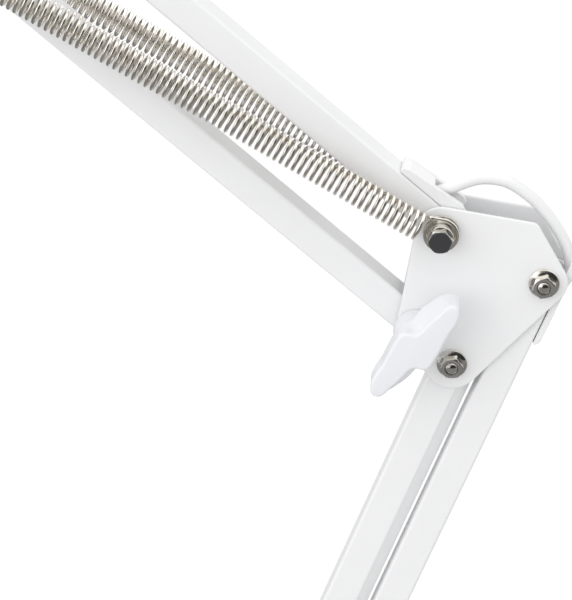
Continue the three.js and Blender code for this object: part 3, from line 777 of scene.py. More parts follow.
@dataclass
class Studio:
    """The camera, the soft lights and what the lamp stands on."""

    azimuth: float = math.radians(5.99)
    elevation: float = math.radians(23.98)
    lens: float = 151.74
    distance: float = 0.976
    aim: tuple[float, float, float] = (-59.6 * MM, 0.0, -34.9 * MM)
    floor_at: float = -0.130
    bright_side: tuple[float, float, float] = (-0.35, -0.62, 0.7)
    dark_side: tuple[float, float, float] = (0.25, -0.85, -0.3)
    surround: tuple[float, float, float, float] = (-1.0, 1.0, 0.47, 1.25)
    room: tuple[float, float, float, float] = (0.0, 0.62, 1.4, 0.02)
    floor_reach: float = 6.0
    floor_white: float = 1.2
    floor_white_share: float = 0.72
    floor_in_metal: float = 0.24
    desk_low: tuple[float, float, float] = (-0.225, -0.13, -0.0247)
    desk_high: tuple[float, float, float] = (0.0255, 0.19, -0.0003)

    def camera(self) -> None:
        """Looks at the elbow from above the front, a little to the right."""
        a, e = self.azimuth, self.elevation
        back = Vector((math.sin(a) * math.cos(e), -math.cos(a) * math.cos(e), math.sin(e)))
        data = bpy.data.cameras.new("camera")
        data.lens, data.sensor_width = self.lens, 36.0
        data.clip_start, data.clip_end = 0.05, 50.0
        camera = bpy.data.objects.new("camera", data)
        camera.location = Vector(A + np.array(self.aim)) + back * self.distance
        camera.rotation_mode = "QUATERNION"
        camera.rotation_quaternion = (-back).to_track_quat("-Z", "Y")
        bpy.context.scene.collection.objects.link(camera)
        bpy.context.scene.camera = camera

    def world(self) -> None:
        """A white surround, brighter above and in front.

        Its light is a level plus a share of the cosine from the brightest direction. Reflections see
        a dark room low on the camera's side, which gives the metal its dark accents.
        """
        world = bpy.data.worlds.new("studio")
        world.use_nodes = True
        nodes, links = world.node_tree.nodes, world.node_tree.links
        sky = nodes["Background"]
        rays, place = nodes.new("ShaderNodeLightPath"), nodes.new("ShaderNodeTexCoord")

        def facing(direction: Point) -> bpy.types.NodeSocket:
            """The cosine between the looked-at direction and another.

            Args:
                direction: The other direction.

            Returns:
                The socket that gives the cosine.
            """
            node = nodes.new("ShaderNodeVectorMath")
            node.operation = "DOT_PRODUCT"
            node.inputs[1].default_value = Vector(direction).normalized()
            links.new(place.outputs["Generated"], node.inputs[0])
            return node.outputs["Value"]

        room, level = nodes.new("ShaderNodeMapRange"), nodes.new("ShaderNodeMapRange")
        room.interpolation_type = "SMOOTHSTEP"
        for node, values in ((room, self.room), (level, self.surround)):
            for name, value in zip(("From Min", "From Max", "To Min", "To Max"), values):
                node.inputs[name].default_value = value
        links.new(facing(self.dark_side), room.inputs["Value"])
        links.new(facing(self.bright_side), level.inputs["Value"])
        glossy, seen = nodes.new("ShaderNodeMix"), nodes.new("ShaderNodeMix")
        seen.inputs[3].default_value = 1.05
        links.new(rays.outputs["Is Glossy Ray"], glossy.inputs[0])
        links.new(level.outputs["Result"], glossy.inputs[2])
        links.new(room.outputs["Result"], glossy.inputs[3])
        links.new(rays.outputs["Is Camera Ray"], seen.inputs[0])
        links.new(glossy.outputs[0], seen.inputs[2])
        links.new(seen.outputs[0], sky.inputs["Strength"])
        sky.inputs["Color"].default_value = (1.0, 1.0, 1.0, 1.0)
        bpy.context.scene.world = world

    @staticmethod
    def lamp(name: str, place: Point, size: float, power: float) -> None:
        """A square soft light that looks at the elbow.

        Args:
            name: The light's name.
            place: Where it is.
            size: The length of its side.
            power: Its power in watts.
        """
        data = bpy.data.lights.new(name, "AREA")
        data.shape, data.size, data.energy = "SQUARE", size, power
        light = bpy.data.objects.new(name, data)
        light.location = place
        light.rotation_mode = "QUATERNION"
        light.rotation_quaternion = (Vector(A) - Vector(place)).to_track_quat("-Z", "Y")
        bpy.context.scene.collection.objects.link(light)

    def stand(self) -> None:
        """A pale floor and the end of a pale desk top that the clamp grips.

        Their one material looks nearly white from the camera and dim in reflections.
        """
        pale = bpy.data.materials.new("pale_stage")
        pale.use_nodes = True
        nodes, links = pale.node_tree.nodes, pale.node_tree.links
        shader, rays = nodes["Principled BSDF"], nodes.new("ShaderNodeLightPath")
        shader.inputs["Base Color"].default_value = (0.62, 0.62, 0.62, 1.0)
        shader.inputs["Roughness"].default_value = 0.9
        shader.inputs["Specular IOR Level"].default_value = 0.1
        white, white_mix = nodes.new("ShaderNodeEmission"), nodes.new("ShaderNodeMixShader")
        dark, dark_mix = nodes.new("ShaderNodeEmission"), nodes.new("ShaderNodeMixShader")
        white.inputs["Strength"].default_value = self.floor_white
        dark.inputs["Strength"].default_value = self.floor_in_metal
        share = nodes.new("ShaderNodeMath")
        share.operation = "MULTIPLY"
        share.inputs[1].default_value = self.floor_white_share
        links.new(rays.outputs["Is Camera Ray"], share.inputs[0])
        links.new(rays.outputs["Is Glossy Ray"], dark_mix.inputs[0])
        links.new(share.outputs[0], white_mix.inputs[0])
        links.new(shader.outputs[0], dark_mix.inputs[1])
        links.new(dark.outputs[0], dark_mix.inputs[2])
        links.new(dark_mix.outputs[0], white_mix.inputs[1])
        links.new(white.outputs[0], white_mix.inputs[2])
        links.new(white_mix.outputs[0], nodes["Material Output"].inputs["Surface"])
        far = self.floor_reach
        floor = Surface(
            np.array([[-far, -far, 0], [far, -far, 0], [far, far, 0], [-far, far, 0]])
            + self.floor_at * Z_AXIS,
            [[0, 1, 2, 3]],
        )
        low, high = self.desk_low, self.desk_high
        corners = np.array([[low[0], low[1]], [high[0], low[1]], [high[0], high[1]], [low[0], high[1]]])
        ring = [np.column_stack([corners, np.full(4, z)]) for z in (low[2], high[2])]
        desk = capped(np.array(ring))
        for name, shape in (("floor", floor), ("desk_top", desk)):
            mesh = bpy.data.meshes.new(name)
            mesh.from_pydata(shape.points.tolist(), [], shape.faces)
            mesh.materials.append(pale)
            obj = bpy.data.objects.new(name, mesh)
            bpy.context.scene.collection.objects.link(obj)

    def build(self) -> None:
        """Everything round the lamp."""
        self.camera()
        self.world()
        self.lamp("key_light", (-1.3, -1.8, 1.3), 1.5, 6.5)
        self.stand()
        bpy.context.scene.view_settings.view_transform = "Standard"
        LOG.info("studio: camera, lights, floor and desk")


# ---- Lead ------------------------------------------------------------------------------------


def on_arm(origin: Array, direction: Array, points: Sequence[Point]) -> list[Array]:
    """Points given along an arm and outwards from it, in millimetres, as points in the row frame."""
    out = outwards(direction)
    return [origin + s * MM * direction + n * MM * out for s, n in points]


def in_plane(origin: Array, points: Sequence[Point]) -> list[Array]:
    """Points given as (x, z) from an origin, in millimetres, as points in the row frame."""
    return [origin + np.array([x * MM, 0.0, z * MM]) for x, z in points]


@dataclass
class ArmLead:
    """The lead from the base through both arms to the shade, on one smooth curve.

    The curve is cut where one body's stretch ends. A stretch inside a tube rides on its arm, and a
    loop between two bodies is left where it is built, on no body.
    """

    radius: float = 2.3 * MM
    step: float = 1.3 * MM

    def points(self) -> list[tuple[str, list[Array]]]:
        """The route's points from the clip up.

        Returns:
            Each stretch's name and the points that it starts with.
        """
        arm_mm = ARM / MM
        slot = [(9.1, 9.1), (12, 5.2), (18, 1.8), (28, 0.4), (42, 0)]
        middle = [(60, 0), (190, 0), (320, 0)]
        over = [(34, 0), (22, 1), (12, 3.8), (4, 6.7), (-1.5, 8.4), (-5.6, 8.2), (-8.1, 7.1)]
        top = [(arm_mm - s, n) for s, n in over]
        back_out = [(arm_mm - s, n) for s, n in reversed(slot)]
        return [
            ("base_loop", in_plane(np.zeros(3), [(23.5, 40.9), (23.5, 48), (23.9, 52.5), (28, 58),
                (35, 64.5), (39.5, 74), (38.5, 84), (34, 92.6)])),
            ("lower_run", on_arm(BASE_OUTER, LOW_ARM, slot + middle + top)),
            ("elbow_lower", in_plane(A, [(47.6, -9.9), (44.6, -3.2), (40.2, 3.5), (33.6, 10.9),
                (28.6, 14.7), (24.7, 17)])),
            ("elbow_upper", in_plane(A, [(17.2, 18.5), (13.5, 18.3), (6, 15.6)])),
            ("upper_run", on_arm(A, UP_ARM, slot + middle + back_out)),
            ("head_arm", in_plane(HEAD_A, [(15.3, 16), (14.5, 32), (8, 48), (-5, 59)])),
            ("head_shade", in_plane(HEAD_A, [(-19, 63.5), (-32, 60.3), (-40.5, 52.4), (-45.9, 42.9),
                (-53, 29.6), (-60.5, 15.5)])),
        ]

    def build(self) -> None:
        """Cuts the curve into its stretches; a run inside a tube rides on its arm and a loop is left on
        no body.
        """
        route = self.points()
        stations, marks = spline([p for _, points in route for p in points], self.step)
        counts = np.cumsum([0] + [len(points) for _, points in route])
        first = {name: marks[counts[i]] for i, (name, _) in enumerate(route)}
        last = {name: marks[counts[i + 1] - 1] for i, (name, _) in enumerate(route)}
        # the piece, its first and last station, its nearer and farther body, its node
        cuts = [
            ("base_loop", first["base_loop"], first["lower_run"], "swivel_bracket", "lower_outer_bar",
                "base_loop"),
            ("lower_run", first["lower_run"], last["lower_run"], "lower_outer_bar", None, "lower_run"),
            ("elbow_loop_lower", last["lower_run"], first["elbow_upper"], "lower_outer_bar", "elbow",
                "elbow_loop"),
            ("elbow_loop_upper", first["elbow_upper"], first["upper_run"], "elbow", "upper_top_bar",
                "elbow_loop"),
            ("upper_run", first["upper_run"], last["upper_run"], "upper_top_bar", None, "upper_run"),
            ("head_loop_arm", last["upper_run"], first["head_shade"], "upper_top_bar", "head_bracket",
                "head_loop"),
            ("head_loop_shade", first["head_shade"], last["head_shade"], "head_bracket", "shade_head",
                "head_loop"),
        ]
        whole = carry(stations, self.radius)
        rings = whole.points.reshape(len(stations), -1, 3)
        for name, start, end, near, far, node in cuts:
            skin = capped(rings[start : end + 1])
            rides = None if far else near
            obj = add_piece(f"cord_{name}_sheath", skin, SHEATH, rides, [f"cord_{node}"])
            if far:
                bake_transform(obj)


@dataclass
class MainsLead:
    """The free lead: down from the clip, a coil on the desk, and its plug."""

    centre: tuple[float, float] = (-62 * MM, 102 * MM)
    pitch: float = 5.4 * MM
    outer: float = 41.5 * MM
    low: float = 2.7 * MM
    high: float = 8.1 * MM
    turns: float = 8.25
    layer_turns: int = 4
    climb_at: float = 3.93
    climb_turns: float = 0.42
    exit: tuple[float, float, float] = (23.5 * MM, 0.0, 40.7 * MM)
    plug_at: tuple[float, float, float] = (-118.5 * MM, 99.5 * MM, 7.3 * MM)
    tie_angle: float = math.radians(50)
    tie_spread: float = 0.085

    def coil(self) -> Array:
        """The coil: four turns winding in on the desk, then four winding out on top.

        Returns:
            The stations.
        """
        turns = np.arange(0, self.turns + 1e-9, 1 / 60)
        climb = np.clip((turns - self.climb_at) / self.climb_turns, 0, 1)
        z = self.low + (self.high - self.low) * climb**2 * (3 - 2 * climb)
        inner = self.outer - self.layer_turns * self.pitch
        on_top = self.climb_at + self.climb_turns
        radius = np.where(turns < self.layer_turns, self.outer - self.pitch * turns, inner)
        radius = np.where(turns > on_top, inner + self.pitch * (turns - on_top), radius)
        angle = TAU * turns
        x = self.centre[0] + radius * np.cos(angle)
        y = self.centre[1] + radius * np.sin(angle)
        return np.column_stack([x, y, z])

    def route(self) -> Array:
        """The whole centreline, from the clip to the plug.

        Returns:
            The stations.
        """
        to_coil = [(23.5, 0, 40.7), (23.6, 1, 35), (23, 6, 29), (20, 15, 24.5), (13, 27, 18.5),
            (4, 37, 10.5), (-6, 46, 5), (-14.5, 56, 2.9), (-19.3, 68, 2.7), (-20.5, 80.7, 2.7)]
        to_plug = [(-84.4, 143, 8.1), (-95, 142, 6.2), (-106, 137, 3.9), (-114, 128, 3),
            (-118, 117, 4.4), (-118.5, 108, 6.8), (-118.5, 99.6, 7.3)]
        wound = self.coil()
        points = np.vstack([np.array(to_coil) * MM, wound, np.array(to_plug) * MM])
        return spline(points, 2.2 * MM)[0]

    def build(self) -> None:
        """The lead, its plug and the tie round its coil."""
        path = self.route()
        lead = add_piece(
            "mains_lead", carry(path, CORD_D / 2, 12), SHEATH, None,
            ["mains_cord", "cord_coil", "mains_tail"],
        )
        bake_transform(lead)
        plug, pins, tie = self.plug(), self.pins(), self.tie()

    def plug(self) -> bpy.types.Object:
        """The moulded plug: rounded sections whose half width and thickness follow its length.

        Returns:
            The object.
        """
        # distance from the cord's end, half width, half thickness
        stations = np.array([
            (-0.2, 2.7, 2.7), (0, 3.1, 3.1), (4, 3.4, 3.4), (14, 4.0, 4.0), (24, 4.8, 4.8),
            (27, 6.2, 5.4), (31, 9.2, 6.2), (37, 14.2, 6.7), (43, 16.8, 6.8), (49, 17.5, 6.8),
            (58.5, 17.5, 6.7), (60.3, 17.0, 6.2), (61, 15.8, 5.2),
        ])
        distance = spline(stations, 1.0)[0]
        angle = np.arange(48) * TAU / 48
        squareness = np.clip((distance[:, 0] - 14) / 20, 0, 1)[:, None]
        power = 1 - 0.5 * squareness * (3 - 2 * squareness) * squareness
        wide, thick = (
            np.sign(wave) * np.abs(wave) ** power * distance[:, k : k + 1]
            for k, wave in ((1, np.cos(angle)), (2, np.sin(angle)))
        )
        # shallow ribs round the strain relief
        ribbed = (distance[:, :1] > 2) & (distance[:, :1] < 23)
        ribs = np.where(ribbed, 1 - 0.07 * (np.sin(TAU * distance[:, :1] / 4) > 0.3), 1.0)
        along = np.broadcast_to(distance[:, :1], wide.shape)
        points = self.plug_at + np.stack([wide * ribs, -along, thick * ribs], -1) * MM
        return add_piece("mains_plug_body", capped(points), MOULDED_WHITE, "clamp", ["mains_plug"])

    def pins(self) -> bpy.types.Object:
        """Both pins, each a sleeve and a bright tip with a round nose.

        Returns:
            The object.
        """
        profile = soften([(0, 59), (2.0, 59), (2.0, 69.5), (1.75, 69.8), (1.75, 70.6), (2.0, 70.9),
            (2.0, 77.2), (1.2, 78.9), (0, 79)], 0.7)
        shapes = [
            revolve(profile * MM, self.plug_at + side * 9.5 * MM * X_AXIS, FRONT, 32) for side in (-1, 1)
        ]
        return add_piece("mains_plug_pins", shapes[0] + shapes[1], BRIGHT_ZINC, "clamp")

    def tie(self) -> bpy.types.Object:
        """A flat tie round the coil: a rounded oblong carried a short way round the coil.

        Returns:
            The object.
        """
        near, far, foot, top = 16.9, 44.6, -0.1, 11.1
        corners = [(30, foot), (near, foot), (near, top), (far, top), (far, foot), (30, foot)]
        section = soften(corners, 3.0, 8)[:-1] * MM
        middle = section.mean(0)
        inner = middle + (section - middle) * (1 - 0.35 * MM / np.abs(section - middle).max(0))
        spread = self.tie_angle + np.linspace(-1, 1, 7) * self.tie_spread

        def wrapped(line: Array) -> Array:
            """The section's line at each angle round the coil, the strap kept the same width.

            Args:
                line: Rows of (distance from the coil's axis, height).

            Returns:
                An array of angles by points by three.
            """
            reach = line[None, :, 0]
            turn = self.tie_angle + (spread[:, None] - self.tie_angle) * 30 * MM / reach
            height = np.broadcast_to(line[None, :, 1], turn.shape)
            x, y = self.centre
            return np.stack([x + reach * np.cos(turn), y + reach * np.sin(turn), height], -1)

        rows = np.concatenate([wrapped(section), wrapped(inner)[::-1]])
        strap = grid(rows, close_rows=True, close_columns=True)
        return add_piece("coil_tie", strap, RUBBER, "clamp")


# ---- Fasteners -------------------------------------------------------------------------------


def hexagon(angle: Array, corner: float) -> Array:
    """A hexagon's radius at each angle: its half width over the cosine of the angle from a flat.

    Args:
        angle: The angles.
        corner: The radius of the corners.

    Returns:
        The radii.
    """
    sector = TAU / 6
    off = (angle + sector / 2) % sector - sector / 2
    return corner * math.cos(sector / 2) / np.cos(off)


@dataclass
class FlangeNut:
    """A hexagon nut with a round flange, its front corners turned off by a cone."""

    flange: float = 5.9 * MM
    corner: float = 4.6 * MM
    height: float = 5.2 * MM
    bore: float = 2.55 * MM

    def surface(self, centre: Array, near: float, axis: Array, turn: float = 0.2) -> Surface:
        """The nut on its seat.

        The radius on each ring is the smaller of the flange's or the chamfer's and, past the
        flange, the hexagon's.

        Args:
            centre: The pivot on the lamp's centre plane.
            near: The seat's distance from that plane.
            axis: The direction that the nut faces.
            turn: How far round the hexagon is turned.

        Returns:
            The surface.
        """
        flange, corner, height = self.flange, self.corner, self.height
        foot = soften([
            (self.bore, 0.0), (flange - 0.3 * MM, 0.0), (flange, 0.35 * MM), (flange, 0.9 * MM),
            (flange - 0.6 * MM, 1.3 * MM), (corner - 0.1 * MM, 1.75 * MM),
        ], 0.3 * MM, 3)
        sides = [(corner, h) for h in np.linspace(1.85 * MM, height - 0.75 * MM, 4)]
        chamfer = [(corner - 0.85 * MM * t, height - 0.55 * MM * (1 - t)) for t in np.linspace(0, 1, 7)]
        mouth = [(self.bore + 0.2 * MM, height), (self.bore, height - 0.3 * MM), (self.bore, 0.0)]
        profile = np.array([*foot, *sides, *chamfer, *mouth])
        angle = np.arange(96) * TAU / 96
        six = np.minimum(profile[:, :1], hexagon(angle, corner)[None])
        is_hex = (profile[:, 1:] > 1.8 * MM) & (profile[:, :1] > self.bore + 0.6 * MM)
        radius = np.where(is_hex, six, np.broadcast_to(profile[:, :1], six.shape))
        first, second = across(axis)
        spokes = np.cos(angle + turn)[:, None] * first + np.sin(angle + turn)[:, None] * second
        points = centre + (near + profile[:, 1])[:, None, None] * axis + radius[..., None] * spokes
        return grid(points, close_rows=True, close_columns=True)


@dataclass
class PivotBolt:
    """A bolt through both plates: a domed thread end in front and a domed head behind."""

    radius: float = BOLT_R
    head: float = 5.0 * MM
    pitch: float = 0.8 * MM

    def surface(self, centre: Array, front: float, rear: float) -> Surface:
        """The bolt.

        Args:
            centre: The pivot on the lamp's centre plane.
            front: How far in front of that plane its end is.
            rear: How far behind it the head's seat is.

        Returns:
            The surface, its threads as rings over the last few millimetres.
        """
        r = self.radius
        reach = np.linspace(0, 1, 9) * (r - 0.25 * MM)
        ball = r * 1.3
        tip = np.column_stack([reach, front - ball + np.sqrt(ball**2 - reach**2)])
        crests = np.arange(front - 1.4 * MM, front - 6.5 * MM, -self.pitch / 2)
        thread = np.column_stack([r - 0.28 * MM * (np.arange(len(crests)) % 2), crests])
        back = soften([(r, front - 6.9 * MM), (r, -rear), (self.head, -rear),
            (self.head, -rear - 1.0 * MM), (self.head * 0.8, -rear - 2.4 * MM),
            (2.0 * MM, -rear - 3.2 * MM), (1.9 * MM, -rear - 1.6 * MM), (0, -rear - 1.5 * MM)],
            0.6 * MM, 4)
        return revolve(np.vstack([tip, thread, back]), centre, FRONT, 48)


def plain_bolts(part: str, body: str, centres: dict[str, Array]) -> None:
    """The bolts through a bracket's plates, each with its nut.

    Args:
        part: How the pieces' names start.
        body: The bracket.
        centres: Each bolt's name and its pivot.
    """
    nut, bolt = FlangeNut(), PivotBolt()
    for name, centre in centres.items():
        shank = bolt.surface(centre, BOLT_END, PLATE_OUT)
        node = f"{part}_bolt_{name}"
        add_piece(f"{node}_turned", shank, BRIGHT_ZINC, body, [node], 30)
        hexagonal = nut.surface(centre, NUT_SEAT, FRONT)
        add_piece(f"{part}_nut_{name}", hexagonal, BRIGHT_ZINC, body, (), 30)


@dataclass
class SpringPin:
    """A cross pin whose ends hold the springs' eyes."""

    shaft: float = BOLT_R
    cap: float = 3.8 * MM
    collar: float = 4.4 * MM
    seat: float = 7.1 * MM
    end: float = 19.6 * MM

    def surface(self, centre: Array) -> Surface:
        """The pin, the same on both sides of the lamp's centre plane.

        Args:
            centre: Its middle.

        Returns:
            The surface.
        """
        half = soften([
            (self.shaft, 0), (self.shaft, self.seat), (self.collar, self.seat),
            (self.collar, self.seat + 1.2 * MM), (self.shaft, self.seat + 1.2 * MM),
            (self.shaft, self.end - 2.6 * MM), (self.cap, self.end - 2.0 * MM),
            (self.cap, self.end - 0.5 * MM), (self.cap * 0.7, self.end), (0, self.end),
        ], 0.35 * MM, 3)
        mirrored = half[::-1] * np.array([1, -1])
        return revolve(np.vstack([mirrored, half[1:]]), centre, FRONT, 40)


@dataclass
class BalanceSpring:
    """A close-wound tension spring with an eye at each end.

    Its body is the helix start + s * along + r * (cos a * out + sin a * across), and each eye is a
    circle in a plane beside the arm, joined to the body by a cubic.
    """

    wire: float = 1.38 * MM
    radius: float = 5.1 * MM
    pitch: float = 2.61 * MM

    def path(
        self,
        start: Array,
        end: Array,
        y: float,
        eyes: tuple[float, float],
        leads: tuple[float, float],
        planes: tuple[float, float],
    ) -> Array:
        """The wire's centreline.

        Args:
            start: The first anchor on the lamp's centre plane.
            end: The other anchor.
            y: The spring's own plane.
            eyes: The radius of each eye.
            leads: The distance from each anchor to the body.
            planes: The plane of each eye.

        Returns:
            The stations.
        """
        along = unit(end - start)
        out = outwards(along)
        length = float(np.linalg.norm(end - start))
        body = length - sum(leads)
        turns = round(body / self.pitch)
        angle = np.arange(0, turns * 20 + 1) * TAU / 20
        s = leads[0] + body * angle / angle[-1]
        helix = (
            start + y * Y_AXIS + s[:, None] * along
            + self.radius * (np.cos(angle)[:, None] * out + np.sin(angle)[:, None] * Y_AXIS)
        )
        ends = []
        for anchor, sign, eye, plane, wound in (
            (start, 1, eyes[0], planes[0], helix), (end, -1, eyes[1], planes[1], helix[::-1])
        ):
            turn = np.linspace(TAU / 4, TAU / 4 + TAU * 0.86, 26)[:, None]
            ring = (
                anchor + plane * Y_AXIS
                + eye * (np.cos(turn) * along * sign + np.sin(turn) * out)
            )
            leave, slope = wound[0], unit(wound[0] - wound[1])
            reach = 7 * MM
            link = hermite(leave, slope * reach, ring[0], unit(ring[1] - ring[0]) * reach, 8)
            ends.append(np.vstack([link, ring]))
        return np.vstack([ends[0][::-1], helix, ends[1]])

    def lengths(self, path: Array, cuts: Sequence[Array], along: Array) -> list[Surface]:
        """The wire in lengths that meet where its path first comes past each point.

        Args:
            path: The wire's centreline.
            cuts: The points, in order.
            along: The direction of the body.

        Returns:
            One more length than there are points.
        """
        rings = carry(path, self.wire / 2, 8).points.reshape(len(path), 8, 3)
        marks = [0, *(int(np.argmax((path - cut) @ along > 0)) for cut in cuts), len(path) - 1]
        return [capped(rings[first : last + 1]) for first, last in zip(marks, marks[1:])]


# ---- Plates ----------------------------------------------------------------------------------


def band(circles: Array, inset: float, per_arc: int = 14) -> Array:
    """The outline of a belt stretched round circles.

    Each circle gives the arc between the directions square to the belt's straight runs, and its
    radius is lessened by the inset.

    Args:
        circles: Rows of (x, z, radius), anticlockwise.
        inset: How far inside the belt the outline runs.
        per_arc: The points on each arc.

    Returns:
        Rows of (x, z).
    """
    centre, radius = circles[:, :2], circles[:, 2]
    run = np.roll(centre, -1, axis=0) - centre
    lean = np.arcsin((radius - np.roll(radius, -1)) / np.linalg.norm(run, axis=1))
    leave = np.arctan2(run[:, 1], run[:, 0]) - math.pi / 2 + lean
    enter = np.roll(leave, 1)
    sweep = (leave - enter) % TAU
    angle = enter[:, None] + sweep[:, None] * np.linspace(0, 1, per_arc)[None]
    reach = np.maximum(radius - inset, 0.05 * MM)[:, None]
    x = centre[:, :1] + reach * np.cos(angle)
    z = centre[:, 1:] + reach * np.sin(angle)
    return np.column_stack([x.ravel(), z.ravel()])


@dataclass
class SidePlates:
    """A pair of pressed plates with one outline and rounded edges."""

    name: str
    body: str
    circles: Sequence[Point]
    origin: Array
    rounding: float = 0.6 * MM

    def build(self) -> None:
        """The front and the rear plate."""
        circles = np.array(self.circles, float) * MM
        circles[:, :2] += self.origin[[0, 2]]
        thick = PLATE_OUT - PLATE_IN
        quarter = np.linspace(0, math.pi / 2, 5)
        edge = self.rounding
        levels = [(edge * (1 - math.sin(a)), edge * (1 - math.cos(a))) for a in quarter]
        rings = [(4 * edge, 0.0), (2 * edge, 0.0)] + levels
        rings += [(inset, thick - depth) for inset, depth in reversed(levels)]
        rings += [(2 * edge, thick), (4 * edge, thick)]
        for side, sign in (("front", -1), ("rear", 1)):
            rows = []
            for inset, depth in rings:
                outline = band(circles, inset)
                y = np.full(len(outline), sign * (PLATE_OUT - depth))
                rows.append(np.column_stack([outline[:, 0], y, outline[:, 1]]))
            node = f"{self.name}_plate_{side}"
            add_piece(f"{node}_pressed", capped(np.array(rows)), POWDER_COAT, self.body, [node])


# ---- Wing knobs ------------------------------------------------------------------------------


@dataclass
class WingKnob:
    """A moulded knob with two swept wings.

    It is one loft: every level is an outline between the narrow S of the front face, the fuller
    shape behind it and the round collar, and a point on a level keeps its place round the outline.
    """

    name: str
    body: str
    node: str
    centre: Array
    angle: float
    scale: float = 1.0
    seat: float = 9.15 * MM
    front: float = 28.4 * MM

    HALF_FRONT = ((5.6, 4.4), (12.2, 2.5), (19.4, 1.2), (23.6, -0.2), (24.4, -2.6), (22.0, -5.3),
        (13.0, -6.7), (6.5, -7.6), (-0.3, -8.4), (-4.1, -7.7))
    HALF_BACK = ((5.6, 7.4), (12.4, 6.2), (19.4, 4.4), (23.6, 2.0), (25.0, -1.6), (22.4, -5.4),
        (13.0, -7.2), (6.5, -8.2), (-0.3, -8.9), (-4.1, -8.4))

    def outline(self, half: Sequence[Point], count: int = 144) -> Array:
        """A closed outline from one wing's points and the same points turned half round.

        Args:
            half: The wing's points, in millimetres.
            count: The points of the outline, evenly spaced.

        Returns:
            Rows of two, in metres.
        """
        points = np.array(half, float)
        whole = np.vstack([points, -points])
        looped = np.vstack([whole[-3:], whole, whole[:4]])
        curve, marks = spline(looped, 0.4)
        span = curve[marks[3] : marks[3 + len(whole)] + 1]
        run = np.concatenate([[0], np.cumsum(np.linalg.norm(np.diff(span, axis=0), axis=1))])
        want = np.arange(count) / count * run[-1]
        return np.column_stack([np.interp(want, run, span[:, k]) for k in (0, 1)]) * MM

    @staticmethod
    def shrink(outline: Array, inset: float) -> Array:
        """The outline moved inwards along its own normals.

        Args:
            outline: The outline.
            inset: How far it moves.

        Returns:
            The smaller outline.
        """
        tangent = unit(np.roll(outline, -1, axis=0) - np.roll(outline, 1, axis=0))
        inward = np.column_stack([-tangent[:, 1], tangent[:, 0]])
        if np.sum(inward * outline) > 0:
            inward = -inward
        return outline + inset * inward

    def build(self) -> None:
        """The knob and its stud."""
        narrow, full = self.outline(self.HALF_FRONT), self.outline(self.HALF_BACK)
        around = np.arctan2(narrow[:, 1], narrow[:, 0])
        ring = np.column_stack([np.cos(around), np.sin(around)])
        depth = self.front - self.seat
        # share of the depth from the seat, share of the way from full to narrow, inset
        face = [(1.0, 1.0, 1.2), (0.998, 1.0, 0.9), (0.985, 1.0, 0.5), (0.965, 1.0, 0.2),
            (0.94, 1.0, 0.05), (0.90, 0.94, 0.0), (0.82, 0.78, 0.0), (0.72, 0.55, 0.0), (0.62, 0.3, 0.0),
            (0.55, 0.12, 0.0), (0.50, 0.0, 0.1), (0.465, 0.0, 0.5), (0.445, 0.0, 1.3)]
        rows = []
        for share, mix, inset in face:
            line = self.shrink(full * (1 - mix) + narrow * mix, inset * MM)
            rows.append((line, self.seat + share * depth))
        under = self.shrink(full, 2.2 * MM)
        # share of the depth, the collar's radius, share of the way from the wings to the collar
        collar = [(0.40, 8.7, 0.75), (0.34, 8.7, 0.95), (0.22, 8.9, 1.0), (0.05, 9.2, 1.0),
            (0.012, 9.1, 1.0), (0.0, 8.7, 1.0), (0.0, 6.0, 1.0)]
        for share, reach, mix in collar:
            line = under * (1 - mix) + ring * reach * MM * mix
            rows.append((line, self.seat + share * depth))
        u = np.array([math.cos(self.angle), 0.0, math.sin(self.angle)])
        v = np.array([-math.sin(self.angle), 0.0, math.cos(self.angle)])
        points = np.array([
            self.centre + (line[:, :1] * u + line[:, 1:] * v) * self.scale
            + FRONT * (self.seat + (level - self.seat) * self.scale)
            for line, level in rows
        ])
        stud = soften([(0, -12.1 * MM), (2.1 * MM, -12.1 * MM), (BOLT_R, -11.6 * MM), (BOLT_R, 9.6 * MM),
            (0, 9.6 * MM)], 0.3 * MM)
        add_piece(f"{self.name}_moulding", capped(points), MOULDED_WHITE, self.body, [self.node], 50)
        add_piece(f"{self.name}_stud", revolve(stud, self.centre, FRONT, 32), BRIGHT_ZINC, self.body)


# ---- Sub-assemblies --------------------------------------------------------------------------


